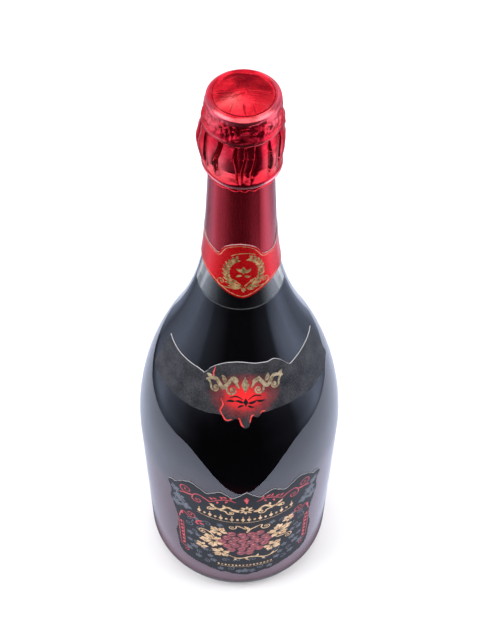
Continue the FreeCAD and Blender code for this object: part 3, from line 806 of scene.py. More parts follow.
# The shoulder label's horned upper edge and dripping lower edge: turn from the front, height.
SHOULDER_TOP = (
    (-82, 167.4), (-60, 167.6), (-48, 167.8), (-40, 167.9), (-35.5, 167.5), (-33.8, 167.2),
    (-32.0, 168.3), (-29.6, 170.3), (-26.5, 171.6), (-23.7, 172.6), (-19, 173.8), (-15.3, 174.5),
    (-11, 174.9), (-6.8, 175.2), (-2, 175.1), (1.9, 174.8), (9.4, 174.0), (17.2, 173.5), (20.5, 173.2),
    (24.3, 173.5), (26.8, 173.5), (28.9, 172.9), (31.6, 172.0), (34.1, 170.8), (37, 168.8),
    (39.6, 167.3), (42, 167.3), (45.5, 167.6), (55, 168.0), (64, 168.1), (72.5, 167.8), (82, 167.3),
)
SHOULDER_LOW = (
    (-82, 149.6), (-74, 148.8), (-60, 149.2), (-48, 149.9), (-36, 149.8), (-25, 150.2), (-19, 150.8),
    (-16.4, 150.7), (-15.2, 150.0), (-14.3, 148.7), (-13.0, 147.8), (-11.5, 147.7), (-10.2, 148.2),
    (-8.9, 148.5), (-7.8, 149.1), (-6.7, 149.5), (-5.3, 149.3), (-4.2, 148.9), (-3.6, 147.2),
    (-2.9, 145.5), (-1.9, 144.8), (-0.8, 144.5), (0.4, 144.7), (1.5, 145.1), (2.3, 146.4), (2.9, 148.6),
    (3.6, 150.0), (4.8, 150.4), (6.2, 149.8), (7.1, 149.5), (8.2, 149.8), (9.2, 150.4), (10.0, 151.1),
    (10.9, 151.6), (13.5, 151.4), (21, 151.6), (36, 150.9), (50, 149.5), (62, 148.9), (74, 148.8),
    (82, 149.6),
)

SHOULDER_TURNS = np.linspace(SHOULDER_LOW[0][0], SHOULDER_LOW[-1][0], 660)
SHOULDER_EDGES = [edge_line(SHOULDER_TURNS, SHOULDER_LOW, 2), edge_line(SHOULDER_TURNS, SHOULDER_TOP, 2)]


def build_shoulder():
    return cut_sheet("shoulder_paper", SHOULDER_TURNS, *SHOULDER_EDGES, 30, body_faces, CHARCOAL)


# One half of the front label's edge: millimetres round from the middle, height.
MAIN_EDGE = (
    (0.0, 102.2), (0.9, 101.3), (1.8, 100.6), (2.9, 99.3), (4.0, 98.6), (5.0, 97.6), (6.1, 97.0),
    (7.2, 97.6), (8.3, 98.9), (9.4, 99.6), (10.6, 100.9), (11.9, 101.3), (13.3, 100.9), (14.4, 99.6),
    (15.6, 99.2), (16.9, 97.8), (18.3, 97.6), (19.6, 98.5), (20.8, 99.9), (22.2, 100.3), (23.6, 101.6),
    (25.2, 102.1), (26.9, 102.0), (28.2, 100.8), (29.6, 100.4), (30.9, 98.6), (32.2, 97.9),
    (33.2, 96.1), (34.3, 95.2), (35.6, 95.6), (37.0, 94.6), (38.6, 93.3), (38.4, 91.2), (37.5, 88.6),
    (37.1, 86.2), (36.9, 84.0), (37.3, 81.6), (37.6, 79.0), (37.2, 76.0), (36.4, 73.2), (36.0, 70.4),
    (35.2, 67.6), (34.7, 64.6), (34.0, 61.6), (34.1, 58.4), (34.4, 55.0), (34.6, 51.6), (35.6, 48.4),
    (36.2, 45.0), (35.8, 41.6), (35.4, 38.4), (35.3, 35.0), (35.1, 31.6), (34.4, 28.6), (33.0, 26.2),
    (30.6, 24.8), (28.0, 24.2), (25.4, 23.2), (22.6, 22.9), (20.0, 22.5), (17.6, 21.5), (14.8, 20.9),
    (12.2, 19.6), (10.6, 20.3), (8.4, 20.1), (6.2, 18.9), (3.8, 18.6), (1.8, 17.8), (0.0, 17.7),
)
MAIN_R = 45.6


def inside(point, polygon):
    """Whether a point lies in a polygon, by counting the edges to its right."""
    x, y = point
    hit = False
    for (xi, yi), (xj, yj) in zip(polygon, polygon[-1:] + polygon[:-1]):
        if (yi > y) != (yj > y) and x < (xj - xi) * (y - yi) / (yj - yi) + xi:
            hit = not hit
    return hit


def fill_points(edge, step, half, bottom, top):
    """Points in rows inside an edge, kept clear of the edge's own points."""
    points = []
    z = bottom
    shifted = False
    while z < top:
        x = -half + (0.5 * step if shifted else 0.0)
        while x < half:
            near = min((x - px) ** 2 + (z - pz) ** 2 for px, pz in edge)
            if near > 0.6 and inside((x, z), edge):
                points.append((x, z))
            x += step
        z += step * 0.87
        shifted = not shifted
    return points


def build_main():
    """Cut-out label: pointed ornate edge, bent round the body."""
    edge = list(MAIN_EDGE) + [(-x, z) for x, z in reversed(MAIN_EDGE[1:-1])]
    points = [mathutils.Vector(p) for p in edge + fill_points(edge, 1.5, 40.0, 16.0, 104.0)]
    segments = [(i, (i + 1) % len(edge)) for i in range(len(edge))]
    flat, _, triangles, _, _, _ = delaunay_2d_cdt(points, segments, [], 1, 1e-4)
    flat = np.array([tuple(p) for p in flat])
    total = len(flat)
    turn = np.degrees(flat[:, 0] / MAIN_R)
    verts = np.concatenate([place(turn, flat[:, 1], PAPER), place(turn, flat[:, 1], GAP)])
    faces = []
    kinds = []
    borders = {}
    for face in triangles:
        sides = list(zip(face, face[1:] + face[:1]))
        if sum(flat[a][0] * flat[b][1] - flat[b][0] * flat[a][1] for a, b in sides) < 0:
            face = face[::-1]
            sides = list(zip(face, face[1:] + face[:1]))
        faces += [tuple(face), tuple(total + v for v in reversed(face))]
        kinds += [0, 1]
        for a, b in sides:
            if borders.pop((b, a), None) is None:
                borders[(a, b)] = True
    for a, b in borders:
        faces.append((b, a, total + a, total + b))
        kinds.append(1)
    piece = make_mesh("front_paper", verts, faces, [BLACK, CUT], kinds=kinds)
    crease(piece, 50)
    return piece


# ---------------------------------------------------------------- printed ornament

class Print:
    """Flat shapes in (millimetres round, height) that lie just above a label."""

    def __init__(self, name, material, round_r, out):
        self.name = name
        self.material = material
        self.round_r = round_r
        self.out = out
        self.points = []
        self.faces = []

    def grid(self, spots):
        """Add a sheet of quads from a rows x columns x 2 array."""
        spots = np.asarray(spots, float)
        rows, columns = spots.shape[:2]
        base = len(self.points)
        self.points.extend(spots.reshape(-1, 2).tolist())
        for r in range(rows - 1):
            for c in range(columns - 1):
                a = base + r * columns + c
                self.faces.append((a, a + 1, a + columns + 1, a + columns))

    def ribbon(self, line, widths):
        """Stroke along a line, with its own width at each point."""
        line = np.asarray(line, float)
        widths = np.broadcast_to(np.asarray(widths, float), (len(line),))
        along = np.gradient(line, axis=0)
        along /= np.linalg.norm(along, axis=1)[:, None] + 1e-9
        side = np.stack([-along[:, 1], along[:, 0]], axis=-1)
        columns = max(2, int(math.ceil(widths.max())) + 1)
        share = np.linspace(-0.5, 0.5, columns)
        self.grid(line[:, None, :] + side[:, None, :] * (widths[:, None] * share)[:, :, None])

    def blob(self, middle, outline):
        """Filled star-shaped outline, given as points round a middle."""
        middle = np.asarray(middle, float)
        closed = np.vstack([outline, outline[:1]])
        self.grid([middle + (closed - middle) * share for share in (0.02, 0.34, 0.67, 1.0)])

    def disc(self, x, z, rx, rz=None, steps=20):
        turn = round_turns(steps)
        rz = rx if rz is None else rz
        self.blob((x, z), np.stack([x + rx * np.cos(turn), z + rz * np.sin(turn)], axis=-1))

    def diamond(self, x, z, wide, tall):
        corners = [(x + wide, z), (x, z + tall), (x - wide, z), (x, z - tall)]
        points = []
        for a, b in zip(corners, corners[1:] + corners[:1]):
            for share in (0.0, 0.33, 0.66):
                points.append((a[0] + (b[0] - a[0]) * share, a[1] + (b[1] - a[1]) * share))
        self.blob((x, z), points)

    def leaf(self, x, z, length, width, lean):
        """Pointed leaf from its foot, leaning by degrees from straight up."""
        share = np.linspace(0.0, 1.0, 9)
        lean = math.radians(lean)
        bow = 0.12 * length * np.sin(share * np.pi)
        line = np.stack([x + share * length * math.sin(lean) + bow * math.cos(lean),
                         z + share * length * math.cos(lean) - bow * math.sin(lean)], axis=-1)
        self.ribbon(line, width * np.sin(share ** 0.8 * np.pi) ** 0.8 + 0.05)

    def vine_leaf(self, x, z, size, lean):
        """Broad leaf of five lobes round a notch at the stalk."""
        turn = round_turns(80)
        shape = 0.46 + 0.46 * np.abs(np.cos(2.5 * turn)) ** 0.8 + 0.08 * np.cos(15.0 * turn)
        notch = 1.0 - 0.6 * np.exp(-((turn - np.pi) / 0.25) ** 2)
        shape = size * shape * (1.0 + 0.14 * np.cos(turn)) * notch
        around = turn + math.radians(lean)
        self.blob((x, z), np.stack([x + shape * np.sin(around), z + shape * np.cos(around)], axis=-1))

    def spiral(self, x, z, start, turns, size, width, lean):
        """Curl round (x, z) that winds in, led in from a start point if there is one."""
        share = np.linspace(0.0, 1.0, int(26 * abs(turns)) + 8)
        angle = math.radians(lean) + share * turns * 2.0 * np.pi
        reach = size * (1.0 - 0.86 * share)
        line = np.stack([x + reach * np.cos(angle), z + reach * np.sin(angle)], axis=-1)
        if start is not None:
            first = line[0]
            lead = np.linspace(0.0, 1.0, 10)[:-1, None]
            tangent = line[1] - line[0]
            tangent = tangent / (np.linalg.norm(tangent) + 1e-9)
            mid = first - tangent * 0.5 * np.linalg.norm(first - start)
            curve = (1 - lead) ** 2 * np.array(start) + 2 * (1 - lead) * lead * mid + lead ** 2 * first
            line = np.vstack([curve, line])
        self.ribbon(line, width * np.linspace(1.0, 0.35, len(line)))
        self.disc(*line[-1], width * 0.75, steps=10)

    def side_spiral(self, s, x, z, start, turns, size, width, lean=0.0):
        """Curl on the right (s is 1) or its mirror image on the left (s is -1)."""
        lean = lean if s > 0 else 180.0 - lean
        self.spiral(s * x, z, (s * start[0], start[1]), s * turns, size, width, lean)

    def side_curve(self, s, points, width):
        self.curve([(s * x, z) for x, z in points], width)

    def side_leaves(self, s, leaves):
        """Leaves given as (x, z, length, width, lean)."""
        for x, z, length, width, lean in leaves:
            self.leaf(s * x, z, length, width, s * lean)

    def curve(self, points, width):
        """Stroke through points, rounded, thin at both ends."""
        points = np.asarray(points, float)
        fine = []
        padded = np.vstack([2 * points[0] - points[1], points, 2 * points[-1] - points[-2]])
        for i in range(1, len(padded) - 2):
            p0, p1, p2, p3 = padded[i - 1:i + 3]
            for t in np.linspace(0.0, 1.0, 14, endpoint=False):
                fine.append(0.5 * (2 * p1 + (p2 - p0) * t + (2 * p0 - 5 * p1 + 4 * p2 - p3) * t ** 2
                                   + (3 * p1 - p0 - 3 * p2 + p3) * t ** 3))
        fine.append(points[-1])
        share = np.linspace(0.0, 1.0, len(fine))
        self.ribbon(fine, width * (0.35 + 0.65 * np.sin(share * np.pi) ** 0.6))

    def build(self):
        flat = np.array(self.points)
        verts = place(np.degrees(flat[:, 0] / self.round_r), flat[:, 1], self.out)
        return make_mesh(self.name, verts, self.faces, [self.material])


def side_print(red, ash, gold, s):
    """One half of the front label's ornament; s is 1 on the right and -1 on the left."""
    red.side_spiral(s, 28.0, 94.4, (16.6, 90.8), 1.5, 4.2, 0.62, 200.0)
    red.side_spiral(s, 22.6, 89.0, (31.8, 88.6), -1.3, 2.7, 0.55, 30.0)
    red.side_curve(s, [(4.6, 93.4), (8.4, 95.4), (12.4, 94.2), (17.0, 90.6)], 0.6)
    for x, z, lean in ((6.8, 95.6, 20), (8.8, 96.6, 60), (11.0, 95.8, 25), (13.2, 94.6, 70), (8.2, 94.2, 150),
                       (12.6, 92.8, 170), (15.4, 93.4, 40)):
        red.leaf(s * x, z, 2.3, 0.95, s * lean)
    red.side_spiral(s, 26.6, 71.4, (33.2, 63.0), -1.5, 3.1, 0.55, -30.0)
    red.side_leaves(s, [(23.2, 68.0, 2.8, 1.3, -60), (24.2, 66.0, 2.6, 1.3, -130),
                        (22.2, 66.6, 2.4, 1.3, -95), (31.6, 67.4, 2.6, 1.3, 10)])
    red.disc(s * 23.4, 66.9, 0.7, 0.7, 10)
    for step in range(7):
        red.diamond(s * (32.4 - 0.12 * step), 58.6 - 3.5 * step, 0.85, 1.35)
    red.side_curve(s, [(33.6, 61.0), (33.8, 48.0), (33.6, 35.0)], 0.42)
    red.side_curve(s, [(31.0, 60.4), (31.1, 48.0), (30.9, 36.0)], 0.36)
    red.side_spiral(s, 30.6, 31.6, (33.4, 36.0), 1.0, 1.9, 0.5, 90.0)
    ash.side_curve(s, [(36.2, 92.0), (33.6, 86.4), (34.6, 79.0), (31.6, 73.6)], 0.8)
    for x, z, size, lean in ((34.4, 88.6, 2.9, 20), (31.8, 82.6, 3.9, 100), (34.4, 76.4, 3.2, 190),
                             (29.4, 77.6, 3.4, 260)):
        ash.vine_leaf(s * x, z, size, s * lean)
    gold.side_curve(s, [(5.6, 86.0), (8.6, 88.4), (12.2, 85.8), (16.4, 88.4)], 1.35)
    gold.side_spiral(s, 7.0, 83.4, (12.0, 84.8), -1.2, 2.0, 0.85)
    gold.side_spiral(s, 16.0, 84.6, (12.6, 86.6), 1.1, 1.7, 0.75)
    gold.side_leaves(s, [(3.2, 84.2, 4.6, 2.0, 62), (10.0, 87.4, 3.0, 1.4, 10), (14.6, 87.6, 3.0, 1.3, 50)])
    gold_rules(gold, s)


def gold_rules(gold, s):
    """Half of the two gold rules with their beads, which sag a little to the sides."""
    for step in range(9):
        x = 2.55 * step + 1.4
        z = 76.6 + 0.0068 * x * x
        if step % 2:
            gold.disc(s * x, z, 0.62, 0.9, 12)
        else:
            gold.diamond(s * x, z, 1.0, 1.9)
            gold.diamond(s * x, z + 2.6, 0.4, 0.6)
    gold.ribbon([(s * x, 73.8 + 0.0068 * x * x) for x in np.linspace(0.0, 23.0, 20)], 0.30)
    for step in range(8):
        gold.diamond(s * (0.9 + 1.75 * step), 28.4 + 0.006 * step * step, 0.62, 0.85)
    gold.ribbon([(s * x, 26.8 + 0.0012 * x * x) for x in np.linspace(0.0, 14.0, 12)], 0.22)


def foliage(ash, s, seed):
    """Grey leaves and curls scattered over the low half, clear of the bunch and the side columns."""
    rng = random.Random(seed)
    placed = []
    for _ in range(900):
        x = rng.uniform(3.0, 30.0)
        z = rng.uniform(21.5, 70.0)
        size = rng.uniform(1.7, 2.7)
        on_bunch = (x / 23.5) ** 2 + ((z - 53.0) / 18.0) ** 2 < 1.0
        on_rule = x < 17.0 and 25.0 < z < 31.0
        too_low = z < 21.5 + 0.012 * x * x
        touches = any((x - a) ** 2 + (z - b) ** 2 < (size + c + 0.1) ** 2 for a, b, c in placed)
        if on_bunch or on_rule or too_low or touches:
            continue
        placed.append((x, z, size))
        if rng.random() < 0.62:
            ash.vine_leaf(s * x, z, size, rng.uniform(0.0, 360.0))
        else:
            ash.spiral(s * x, z, None, rng.choice((-1.2, 1.2)), size, 0.6, rng.uniform(0.0, 360.0))


# Vine leaves round the bunch: place, size and lean in degrees.
VINE_LEAVES = (
    (-15.4, 52.4, 6.6, 255), (-12.6, 63.0, 4.9, 315), (15.8, 58.4, 6.8, 70), (13.0, 45.6, 5.2, 130),
    (-11.6, 42.0, 5.0, 215), (20.6, 66.6, 3.4, 40), (-21.2, 44.4, 3.6, 240),
)


def bunch(berry, shine, gold, veins):
    """Oval bunch of grapes with a stalk, tendrils and veined leaves."""
    for row, half in enumerate((4, 5, 6, 5, 4, 2)):
        middle_z = 61.6 - row * 3.9
        for k in range(half):
            x = (k - 0.5 * (half - 1)) * 4.45 + 0.5 * math.sin(3.1 * row + k)
            z = middle_z + 0.5 * math.cos(2.3 * k + row)
            berry.disc(x, z, 2.10, 2.28, 22)
            shine.disc(x - 0.65, z + 0.85, 0.62, 0.46, 12)
            rim = [(x + 1.62 * math.cos(t), z + 1.75 * math.sin(t)) for t in np.linspace(3.5, 5.9, 10)]
            shine.ribbon(rim, [0.05, 0.14, 0.22, 0.27, 0.28, 0.28, 0.26, 0.2, 0.12, 0.05])
    gold.curve([(0.4, 63.4), (1.4, 66.8), (-0.8, 70.2)], 1.5)
    for x, z, size, lean in VINE_LEAVES:
        gold.vine_leaf(x, z, size, lean)
        for k in (-72, -36, 0, 36, 72):
            angle = math.radians(lean + k)
            share = np.linspace(-0.2, 0.70, 9)
            veins.ribbon([(x + size * t * math.sin(angle), z + size * t * math.cos(angle)) for t in share],
                         np.linspace(0.085, 0.03, 9) * size)
    gold.spiral(9.6, 67.6, (1.0, 65.8), 1.4, 2.5, 0.75, 150)
    gold.spiral(-6.4, 69.0, (0.0, 67.0), -1.3, 2.0, 0.7, 20)
    gold.spiral(21.4, 49.4, (15.0, 52.6), -1.3, 2.4, 0.8, 100)
    gold.spiral(-20.6, 59.4, (-15.0, 56.6), 1.3, 2.3, 0.8, 80)
    gold.curve([(-8.4, 39.4), (-3.0, 36.4), (3.4, 37.6), (10.4, 35.2), (16.6, 37.4)], 1.0)
    for x, z, lean in ((-4.0, 36.8, 200), (0.4, 36.6, 150), (5.0, 37.2, 30), (8.8, 35.6, 160),
                       (12.8, 36.0, 30)):
        gold.leaf(x, z, 2.8, 1.2, lean)


def front_print():
    """Front label: grape bunch among vine leaves, scrolls at the sides, gold rules."""
    gold = Print("front_gold", GOLD, MAIN_R, PAPER + 0.05)
    red = Print("front_red", RED_INK, MAIN_R, PAPER + 0.035)
    ash = Print("front_grey", GREY_INK, MAIN_R, PAPER + 0.02)
    berry = Print("front_berries", BERRY, MAIN_R, PAPER + 0.065)
    shine = Print("front_berry_lights", BERRY_LIGHT, MAIN_R, PAPER + 0.08)
    veins = Print("front_veins", BLACK, MAIN_R, PAPER + 0.065)
    for s in (-1.0, 1.0):
        side_print(red, ash, gold, s)
        foliage(ash, s, 4)
    red.diamond(0.0, 95.6, 1.3, 2.2)
    red.leaf(0.0, 92.2, 2.4, 0.9, 0)
    for step in range(8):
        angle = math.radians(45.0 * step)
        gold.leaf(0.9 * math.sin(angle), 86.0 + math.cos(angle), 2.7, 1.25, 45.0 * step)
    ash.vine_leaf(0.0, 22.0, 2.4, 0)
    bunch(berry, shine, gold, veins)
    return [p.build() for p in (gold, red, ash, berry, shine, veins)]


def collar_print():
    """Collar: fine gold border, and two leafy sprays that meet below round a small flower."""
    round_r = 15.3
    out = COLLAR_FACE + 0.03
    gold = Print("collar_gold", COLLAR_GOLD, round_r, out)
    border = Print("collar_lines", GOLD, round_r, out)
    rows = np.radians(COLLAR_TURNS) * round_r
    inset = 0.95
    for edge, sign in ((COLLAR_EDGES[1], -inset), (COLLAR_EDGES[0], inset)):
        slope = np.gradient(edge, rows)
        length = np.sqrt(1.0 + slope ** 2)
        line = np.stack([rows - sign * slope / length, edge + sign / length], axis=-1)
        border.ribbon(line[np.abs(COLLAR_TURNS) < 176.0][::2], 0.22)
    wide = 6.9
    tall = 8.0
    for s in (-1.0, 1.0):
        angle = np.radians(-86.0 + np.linspace(0.0, 146.0, 22))
        line = np.stack([s * wide * np.cos(angle), 219.4 + tall * np.sin(angle)], axis=-1)
        gold.ribbon(line, 0.42)
        for (x, z), turn in list(zip(line, angle))[1::2]:
            way = 90.0 - math.degrees(math.atan2(tall * math.cos(turn), -s * wide * math.sin(turn)))
            gold.leaf(x, z, 2.9, 1.25, way + s * 34.0)
            gold.leaf(x, z, 2.4, 1.05, way - s * 36.0)
        gold.side_spiral(s, 8.6, 213.4, (3.0, 211.4), 1.1, 1.5, 0.5)
        gold.side_spiral(s, 3.4, 215.0, (0.4, 212.4), -1.1, 1.2, 0.45)
        gold.side_leaves(s, [(0.5, 219.6, 3.2, 1.3, 52), (0.5, 218.0, 2.6, 1.1, 108)])
    gold.ribbon([(6.6 * math.sin(t), 224.8 + 5.4 * math.cos(t)) for t in np.linspace(-0.85, 0.85, 24)], 0.34)
    gold.diamond(0.0, 220.8, 1.3, 2.2)
    gold.diamond(0.0, 210.4, 0.9, 1.3)
    return [gold.build(), border.build()]


def shoulder_print():
    """Shoulder label: one gold flourish, a dark one on the red fade, red drip edges."""
    round_r = 31.5
    gold = Print("shoulder_gold", DULL_GOLD, round_r, PAPER + 0.04)
    dark = Print("shoulder_dark", BLACK, round_r, PAPER + 0.03)
    red = Print("shoulder_red", DRIP_RED, round_r, PAPER + 0.03)
    gold.diamond(0.0, 165.2, 1.7, 3.6)
    for s in (-1.0, 1.0):
        gold.side_curve(s, [(2.4, 163.8), (5.6, 167.4), (9.2, 163.6), (12.8, 166.8), (17.0, 165.2)], 1.7)
        gold.side_spiral(s, 5.4, 162.8, (9.2, 164.2), -1.2, 2.1, 1.05)
        gold.side_spiral(s, 12.4, 163.0, (16.0, 165.4), -1.2, 1.9, 1.0)
        gold.side_leaves(s, [(3.0, 166.4, 4.0, 1.9, 60), (8.6, 165.6, 3.8, 1.8, 30),
                             (14.4, 166.2, 3.2, 1.6, 65)])
        dark.side_leaves(s, [(0.9, 157.0, 3.6, 1.2, 72), (4.2, 157.8, 3.4, 1.1, 96),
                             (0.8, 156.0, 2.6, 0.9, 118)])
        dark.side_curve(s, [(1.0, 158.6), (3.6, 160.2), (6.4, 159.4)], 0.6)
    dark.diamond(0.0, 157.4, 1.0, 2.0)
    for start, end in ((-16.4, -9.0), (-5.2, -1.2), (2.2, 5.4), (9.4, 13.0)):
        turns = np.linspace(start, end, 22)
        edge = np.interp(turns, SHOULDER_TURNS, SHOULDER_EDGES[0])
        share = np.linspace(0.0, np.pi, 22)
        red.ribbon(np.stack([np.radians(turns) * round_r, edge + 0.75], axis=-1), 0.15 + 0.5 * np.sin(share))
    red.curve([(-13.8, 171.6), (-14.2, 168.6), (-13.0, 165.8)], 0.55)
    red.curve([(-9.6, 158.6), (-8.6, 156.0), (-9.4, 153.0), (-8.4, 150.6)], 0.6)
    return [gold.build(), dark.build(), red.build()]


# ---------------------------------------------------------------- put together

def stand(piece, material_slot, *nodes):
    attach(piece, "root")
    if nodes:
        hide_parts(*nodes)


stand(build_bottle(), "glass", "glass_bottle")
stand(build_drink(), "drink", "sangria")
stand(build_hood(), "hood_foil", "foil_hood")
stand(build_sleeve(), "sleeve_foil", "neck_foil")
stand(build_collar(), "red_paper", "neck_label")
stand(build_shoulder(), "charcoal_paper", "shoulder_label")
stand(build_main(), "black_paper", "main_label")
for ornament in front_print():
    stand(ornament, "black_paper")
for ornament in collar_print():
    stand(ornament, "red_paper")
for ornament in shoulder_print():
    stand(ornament, "charcoal_paper")


# ---------------------------------------------------------------- studio

# How far the camera stands round to the left of the front; the mirrored room turns with it.
AROUND = math.radians(4.5)
CEILING = 2200.0
# What the glass mirrors of the room: a bright table round the bottle and a dark room in front.
# The table is short in front, where the dark room shows in the glass as a V: the turn of its
# middle, half its width in degrees, the table's edge there, how much further the table goes
# elsewhere, and how much it gains on the right and loses on the left.
V_TURN = 4.0
V_HALF = 62.0
V_TIP = 107.0
V_DEPTH = 100.0
V_LEAN = 8.0
# Levels of light by the turn from the front: dim in front, bright at both sides, soft behind.
CONTACT_LIGHT = [(-180, 0.15), (180, 0.15)]
TABLE_NEAR_LIGHT = [(-180, 0.72), (-90, 0.80), (0, 1.0), (90, 1.0), (180, 0.72)]
TABLE_LIGHT = [(-180, 0.95), (-90, 1.25), (-45, 1.6), (30, 1.6), (90, 1.35), (180, 0.95)]
RIM_LIGHT = [(-180, 0.75), (-150, 0.5), (-130, 0.06), (-118, 0.08), (-80, 0.46), (-55, 0.1), (-36, 0.02),
             (24, 0.02), (56, 0.08), (80, 0.45), (100, 0.3), (150, 0.55), (180, 0.75)]
MID_LIGHT = [(-180, 0.9), (-150, 0.7), (-130, 0.25), (-90, 1.0), (-78, 0.65), (-50, 0.12), (-36, 0.02),
             (20, 0.02), (56, 0.12), (88, 1.3), (112, 0.55), (130, 0.42), (150, 0.7), (180, 0.9)]
FAR_LIGHT = [(-180, 1.0), (-125, 0.75), (-95, 1.25), (-60, 0.72), (-55, 0.36), (-20, 0.05), (20, 0.05),
             (54, 0.25), (60, 1.05), (70, 1.6), (88, 1.8), (112, 0.75), (180, 1.0)]
WALL_TOP_LIGHT = [(-180, 0.16), (-80, 0.6), (-40, 0.4), (40, 0.4), (80, 0.6), (180, 0.16)]
WALL_LIGHT = [(-180, 1.0), (-60, 1.6), (-42, 0.12), (42, 0.12), (60, 1.6), (180, 1.0)]
TABLE_TINT = (0.89, 0.96, 1.21)
ROOM_TINT = (0.80, 0.93, 1.27)


def stage_square(name, half, height, material):
    verts = [(-half, -half, height), (half, -half, height), (half, half, height), (-half, half, height)]
    return make_mesh(name, verts, [(0, 1, 2, 3)], [material], False)


def only_mirrored(piece):
    """Keep a glowing stage piece to what glass and foil mirror."""
    piece.visible_camera = False
    piece.visible_diffuse = False
    piece.visible_shadow = False
    piece.visible_volume_scatter = False
    piece.rotation_euler = (0.0, 0.0, -AROUND)


def light_ring(name, inner, outer, heights, light):
    """Glowing ring; its radii are one number or one for each whole degree of turn."""
    turn = np.radians(np.arange(360.0))
    rows = [spin(reach, turn, height) for reach, height in zip((inner, outer), heights)]
    only_mirrored(make_mesh(name, np.vstack(rows), ring_faces(2, 360), [light], False))


def glowing(paint, colour, level):
    """Turn a material into a plain glow."""
    paint.tree.nodes.remove(paint.shader)
    glow = paint.node("Emission", {"Color": colour, "Strength": level})
    paint.feed(paint.tree.nodes["Material Output"].inputs["Surface"], glow.outputs["Emission"])
    return paint.material


def room_light(name, tint, near, far, start, end):
    """Glow that changes with the turn from the front, and with distance between start and end in metres."""
    paint = Paint(name)
    place_m = paint.here()
    axes = paint.axes(place_m)
    angle = paint.maths("ARCTAN2", axes["X"], paint.times(axes["Y"], -1.0))
    share = paint.add(paint.over(angle, 2.0 * math.pi), 0.5)
    levels = [paint.ramp(share, *[(turn / 360.0 + 0.5, level) for turn, level in levels])
              for levels in (near, far)]
    reach = paint.length(place_m, (1.0, 1.0, 0.0))
    farness = paint.node("MapRange", {"Value": reach, "From Min": start, "From Max": end},
                         interpolation_type="SMOOTHSTEP")
    through_glass = paint.node("LightPath", {}).outputs["Is Transmission Ray"]
    colour = paint.mix(through_glass, tint, (0.94, 0.98, 1.05))
    return glowing(paint, colour, paint.mix(farness.outputs["Result"], *levels))


# Bright fields of the ceiling: x and y of the middle, reach in metres, strength.
CEILING_FIELDS = (
    (-1.5, -0.3, 1.1, 3.0), (1.5, -0.2, 1.1, 2.8), (0.0, -1.25, 0.9, 1.1), (0.0, 1.7, 1.0, 0.45),
    (-0.15, 1.72, 0.24, 2.4),
)


def ceiling_light():
    """Bright fields to the left, the right, in front and behind, on a middling level that dims behind."""
    paint = Paint("ceiling_light")
    place_m = paint.here()
    level = 0.50
    for x, y, reach, strength in CEILING_FIELDS:
        share = paint.over(paint.distance(place_m, (x, y, MM * CEILING)), reach, True)
        field = paint.ramp(share, (0.0, strength), (0.55, strength), (1.0, 0.0), ease="EASE")
        level = paint.add(field, level)
    behind = paint.ramp(paint.over(paint.axes(place_m)["Y"], 3.0, True), (0.55, 1.0), (0.62, 0.80),
                        (0.717, 0.46), (0.77, 0.28), (1.0, 0.30))
    return glowing(paint, (1.0, 1.0, 1.0), paint.times(level, behind))


floor_paint = Paint("floor_white")
stage_square("floor", 4000, 0, floor_paint.finish((0.86, 0.86, 0.87), 0.6, specular=0.0))

table_turns = (np.arange(360.0) + 180.0) % 360.0 - 180.0
v_share = np.clip(np.abs(table_turns - V_TURN) / V_HALF, 0.0, 1.0)
table_edge = V_TIP + V_DEPTH * np.sin(0.5 * np.pi * v_share) ** 2 + V_LEAN * np.sin(np.radians(table_turns))
foot_light = room_light("contact_light", TABLE_TINT, CONTACT_LIGHT, TABLE_NEAR_LIGHT, 0.0455, 0.0515)
table_light = room_light("table_light", TABLE_TINT, TABLE_NEAR_LIGHT, TABLE_LIGHT, 0.064, 0.135)
rim_light = room_light("rim_light", ROOM_TINT, RIM_LIGHT, MID_LIGHT, 0.20, 0.245)
far_light = room_light("far_light", ROOM_TINT, MID_LIGHT, FAR_LIGHT, 0.26, 0.52)
wall_light = room_light("wall_light", ROOM_TINT, WALL_TOP_LIGHT, WALL_LIGHT, 2.65, 3.7)
FOOT_REACH = 64.0
RIM_REACH = 245.0
ON_TABLE = (0.4, 0.4)
light_ring("mirrored_foot", 1.0, FOOT_REACH, ON_TABLE, foot_light)
light_ring("mirrored_table", FOOT_REACH, table_edge, ON_TABLE, table_light)
light_ring("mirrored_rim", table_edge, RIM_REACH, ON_TABLE, rim_light)
light_ring("mirrored_room", RIM_REACH, 4000.0, ON_TABLE, far_light)
light_ring("mirrored_wall", 3950.0, 2600.0, (0.5, CEILING - 1.0), wall_light)
only_mirrored(stage_square("mirrored_ceiling", 2600, CEILING, ceiling_light()))


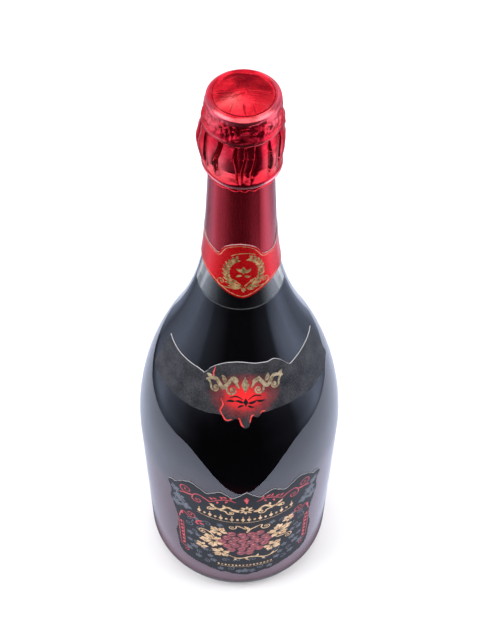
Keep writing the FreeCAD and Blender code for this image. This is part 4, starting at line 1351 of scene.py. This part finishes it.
def soft_light(name, where, aim_z, size, power):
    """Soft lamp that looks at the bottle's axis and leaves no highlight."""
    lamp_data = bpy.data.lights.new(name, "AREA")
    lamp_data.shape = "RECTANGLE"
    lamp_data.size, lamp_data.size_y = size
    lamp_data.energy = power
    lamp = bpy.data.objects.new(name, lamp_data)
    lamp.location = where
    way = mathutils.Vector((0.0, 0.0, aim_z)) - mathutils.Vector(where)
    lamp.rotation_euler = way.to_track_quat("-Z", "Y").to_euler()
    lamp.visible_glossy = False
    bpy.context.collection.objects.link(lamp)


soft_light("light_left", (-1.1, -0.2, 1.1), 0.15, (0.8, 0.9), 14.0)
soft_light("light_right", (1.1, -0.2, 1.1), 0.15, (0.8, 0.9), 12.0)
soft_light("light_top", (0.0, 0.35, 1.6), 0.2, (0.9, 0.7), 9.0)

world = bpy.data.worlds.new("studio")
bpy.context.scene.world = world
world.use_nodes = True
world.node_tree.nodes.clear()
sky = Shade(world.node_tree)
rays = sky.node("LightPath", {}).outputs
white = sky.node("Background", {"Color": (1.0, 1.0, 1.0), "Strength": 1.0})
ambient = sky.node("Background", {"Color": (0.97, 0.98, 1.0), "Strength": 0.85})
seen = sky.maths("MAXIMUM", rays["Is Camera Ray"], rays["Is Glossy Ray"])
seen = sky.maths("MAXIMUM", seen, rays["Is Transmission Ray"])
blend = sky.node("MixShader", {0: seen, 1: ambient.outputs["Background"], 2: white.outputs["Background"]})
sky.node("OutputWorld", {"Surface": blend.outputs["Shader"]})

PITCH = math.radians(53.65)
ROLL = math.radians(0.5)
DISTANCE = 0.33747
HEIGHT = 0.6267
camera_data = bpy.data.cameras.new("camera")
camera_data.sensor_width = 36.0
camera_data.lens = 75.819
camera_data.clip_start = 0.01
camera_data.clip_end = 30.0
camera = bpy.data.objects.new("camera", camera_data)
bpy.context.collection.objects.link(camera)
where = mathutils.Vector((-DISTANCE * math.sin(AROUND), -DISTANCE * math.cos(AROUND), HEIGHT))
rotation = mathutils.Matrix.Rotation
facing = rotation(-AROUND, 4, "Z") @ rotation(0.5 * math.pi - PITCH, 4, "X") @ rotation(ROLL, 4, "Z")
camera.matrix_world = mathutils.Matrix.Translation(where) @ facing
bpy.context.scene.camera = camera
bpy.context.scene.view_settings.view_transform = "Standard"
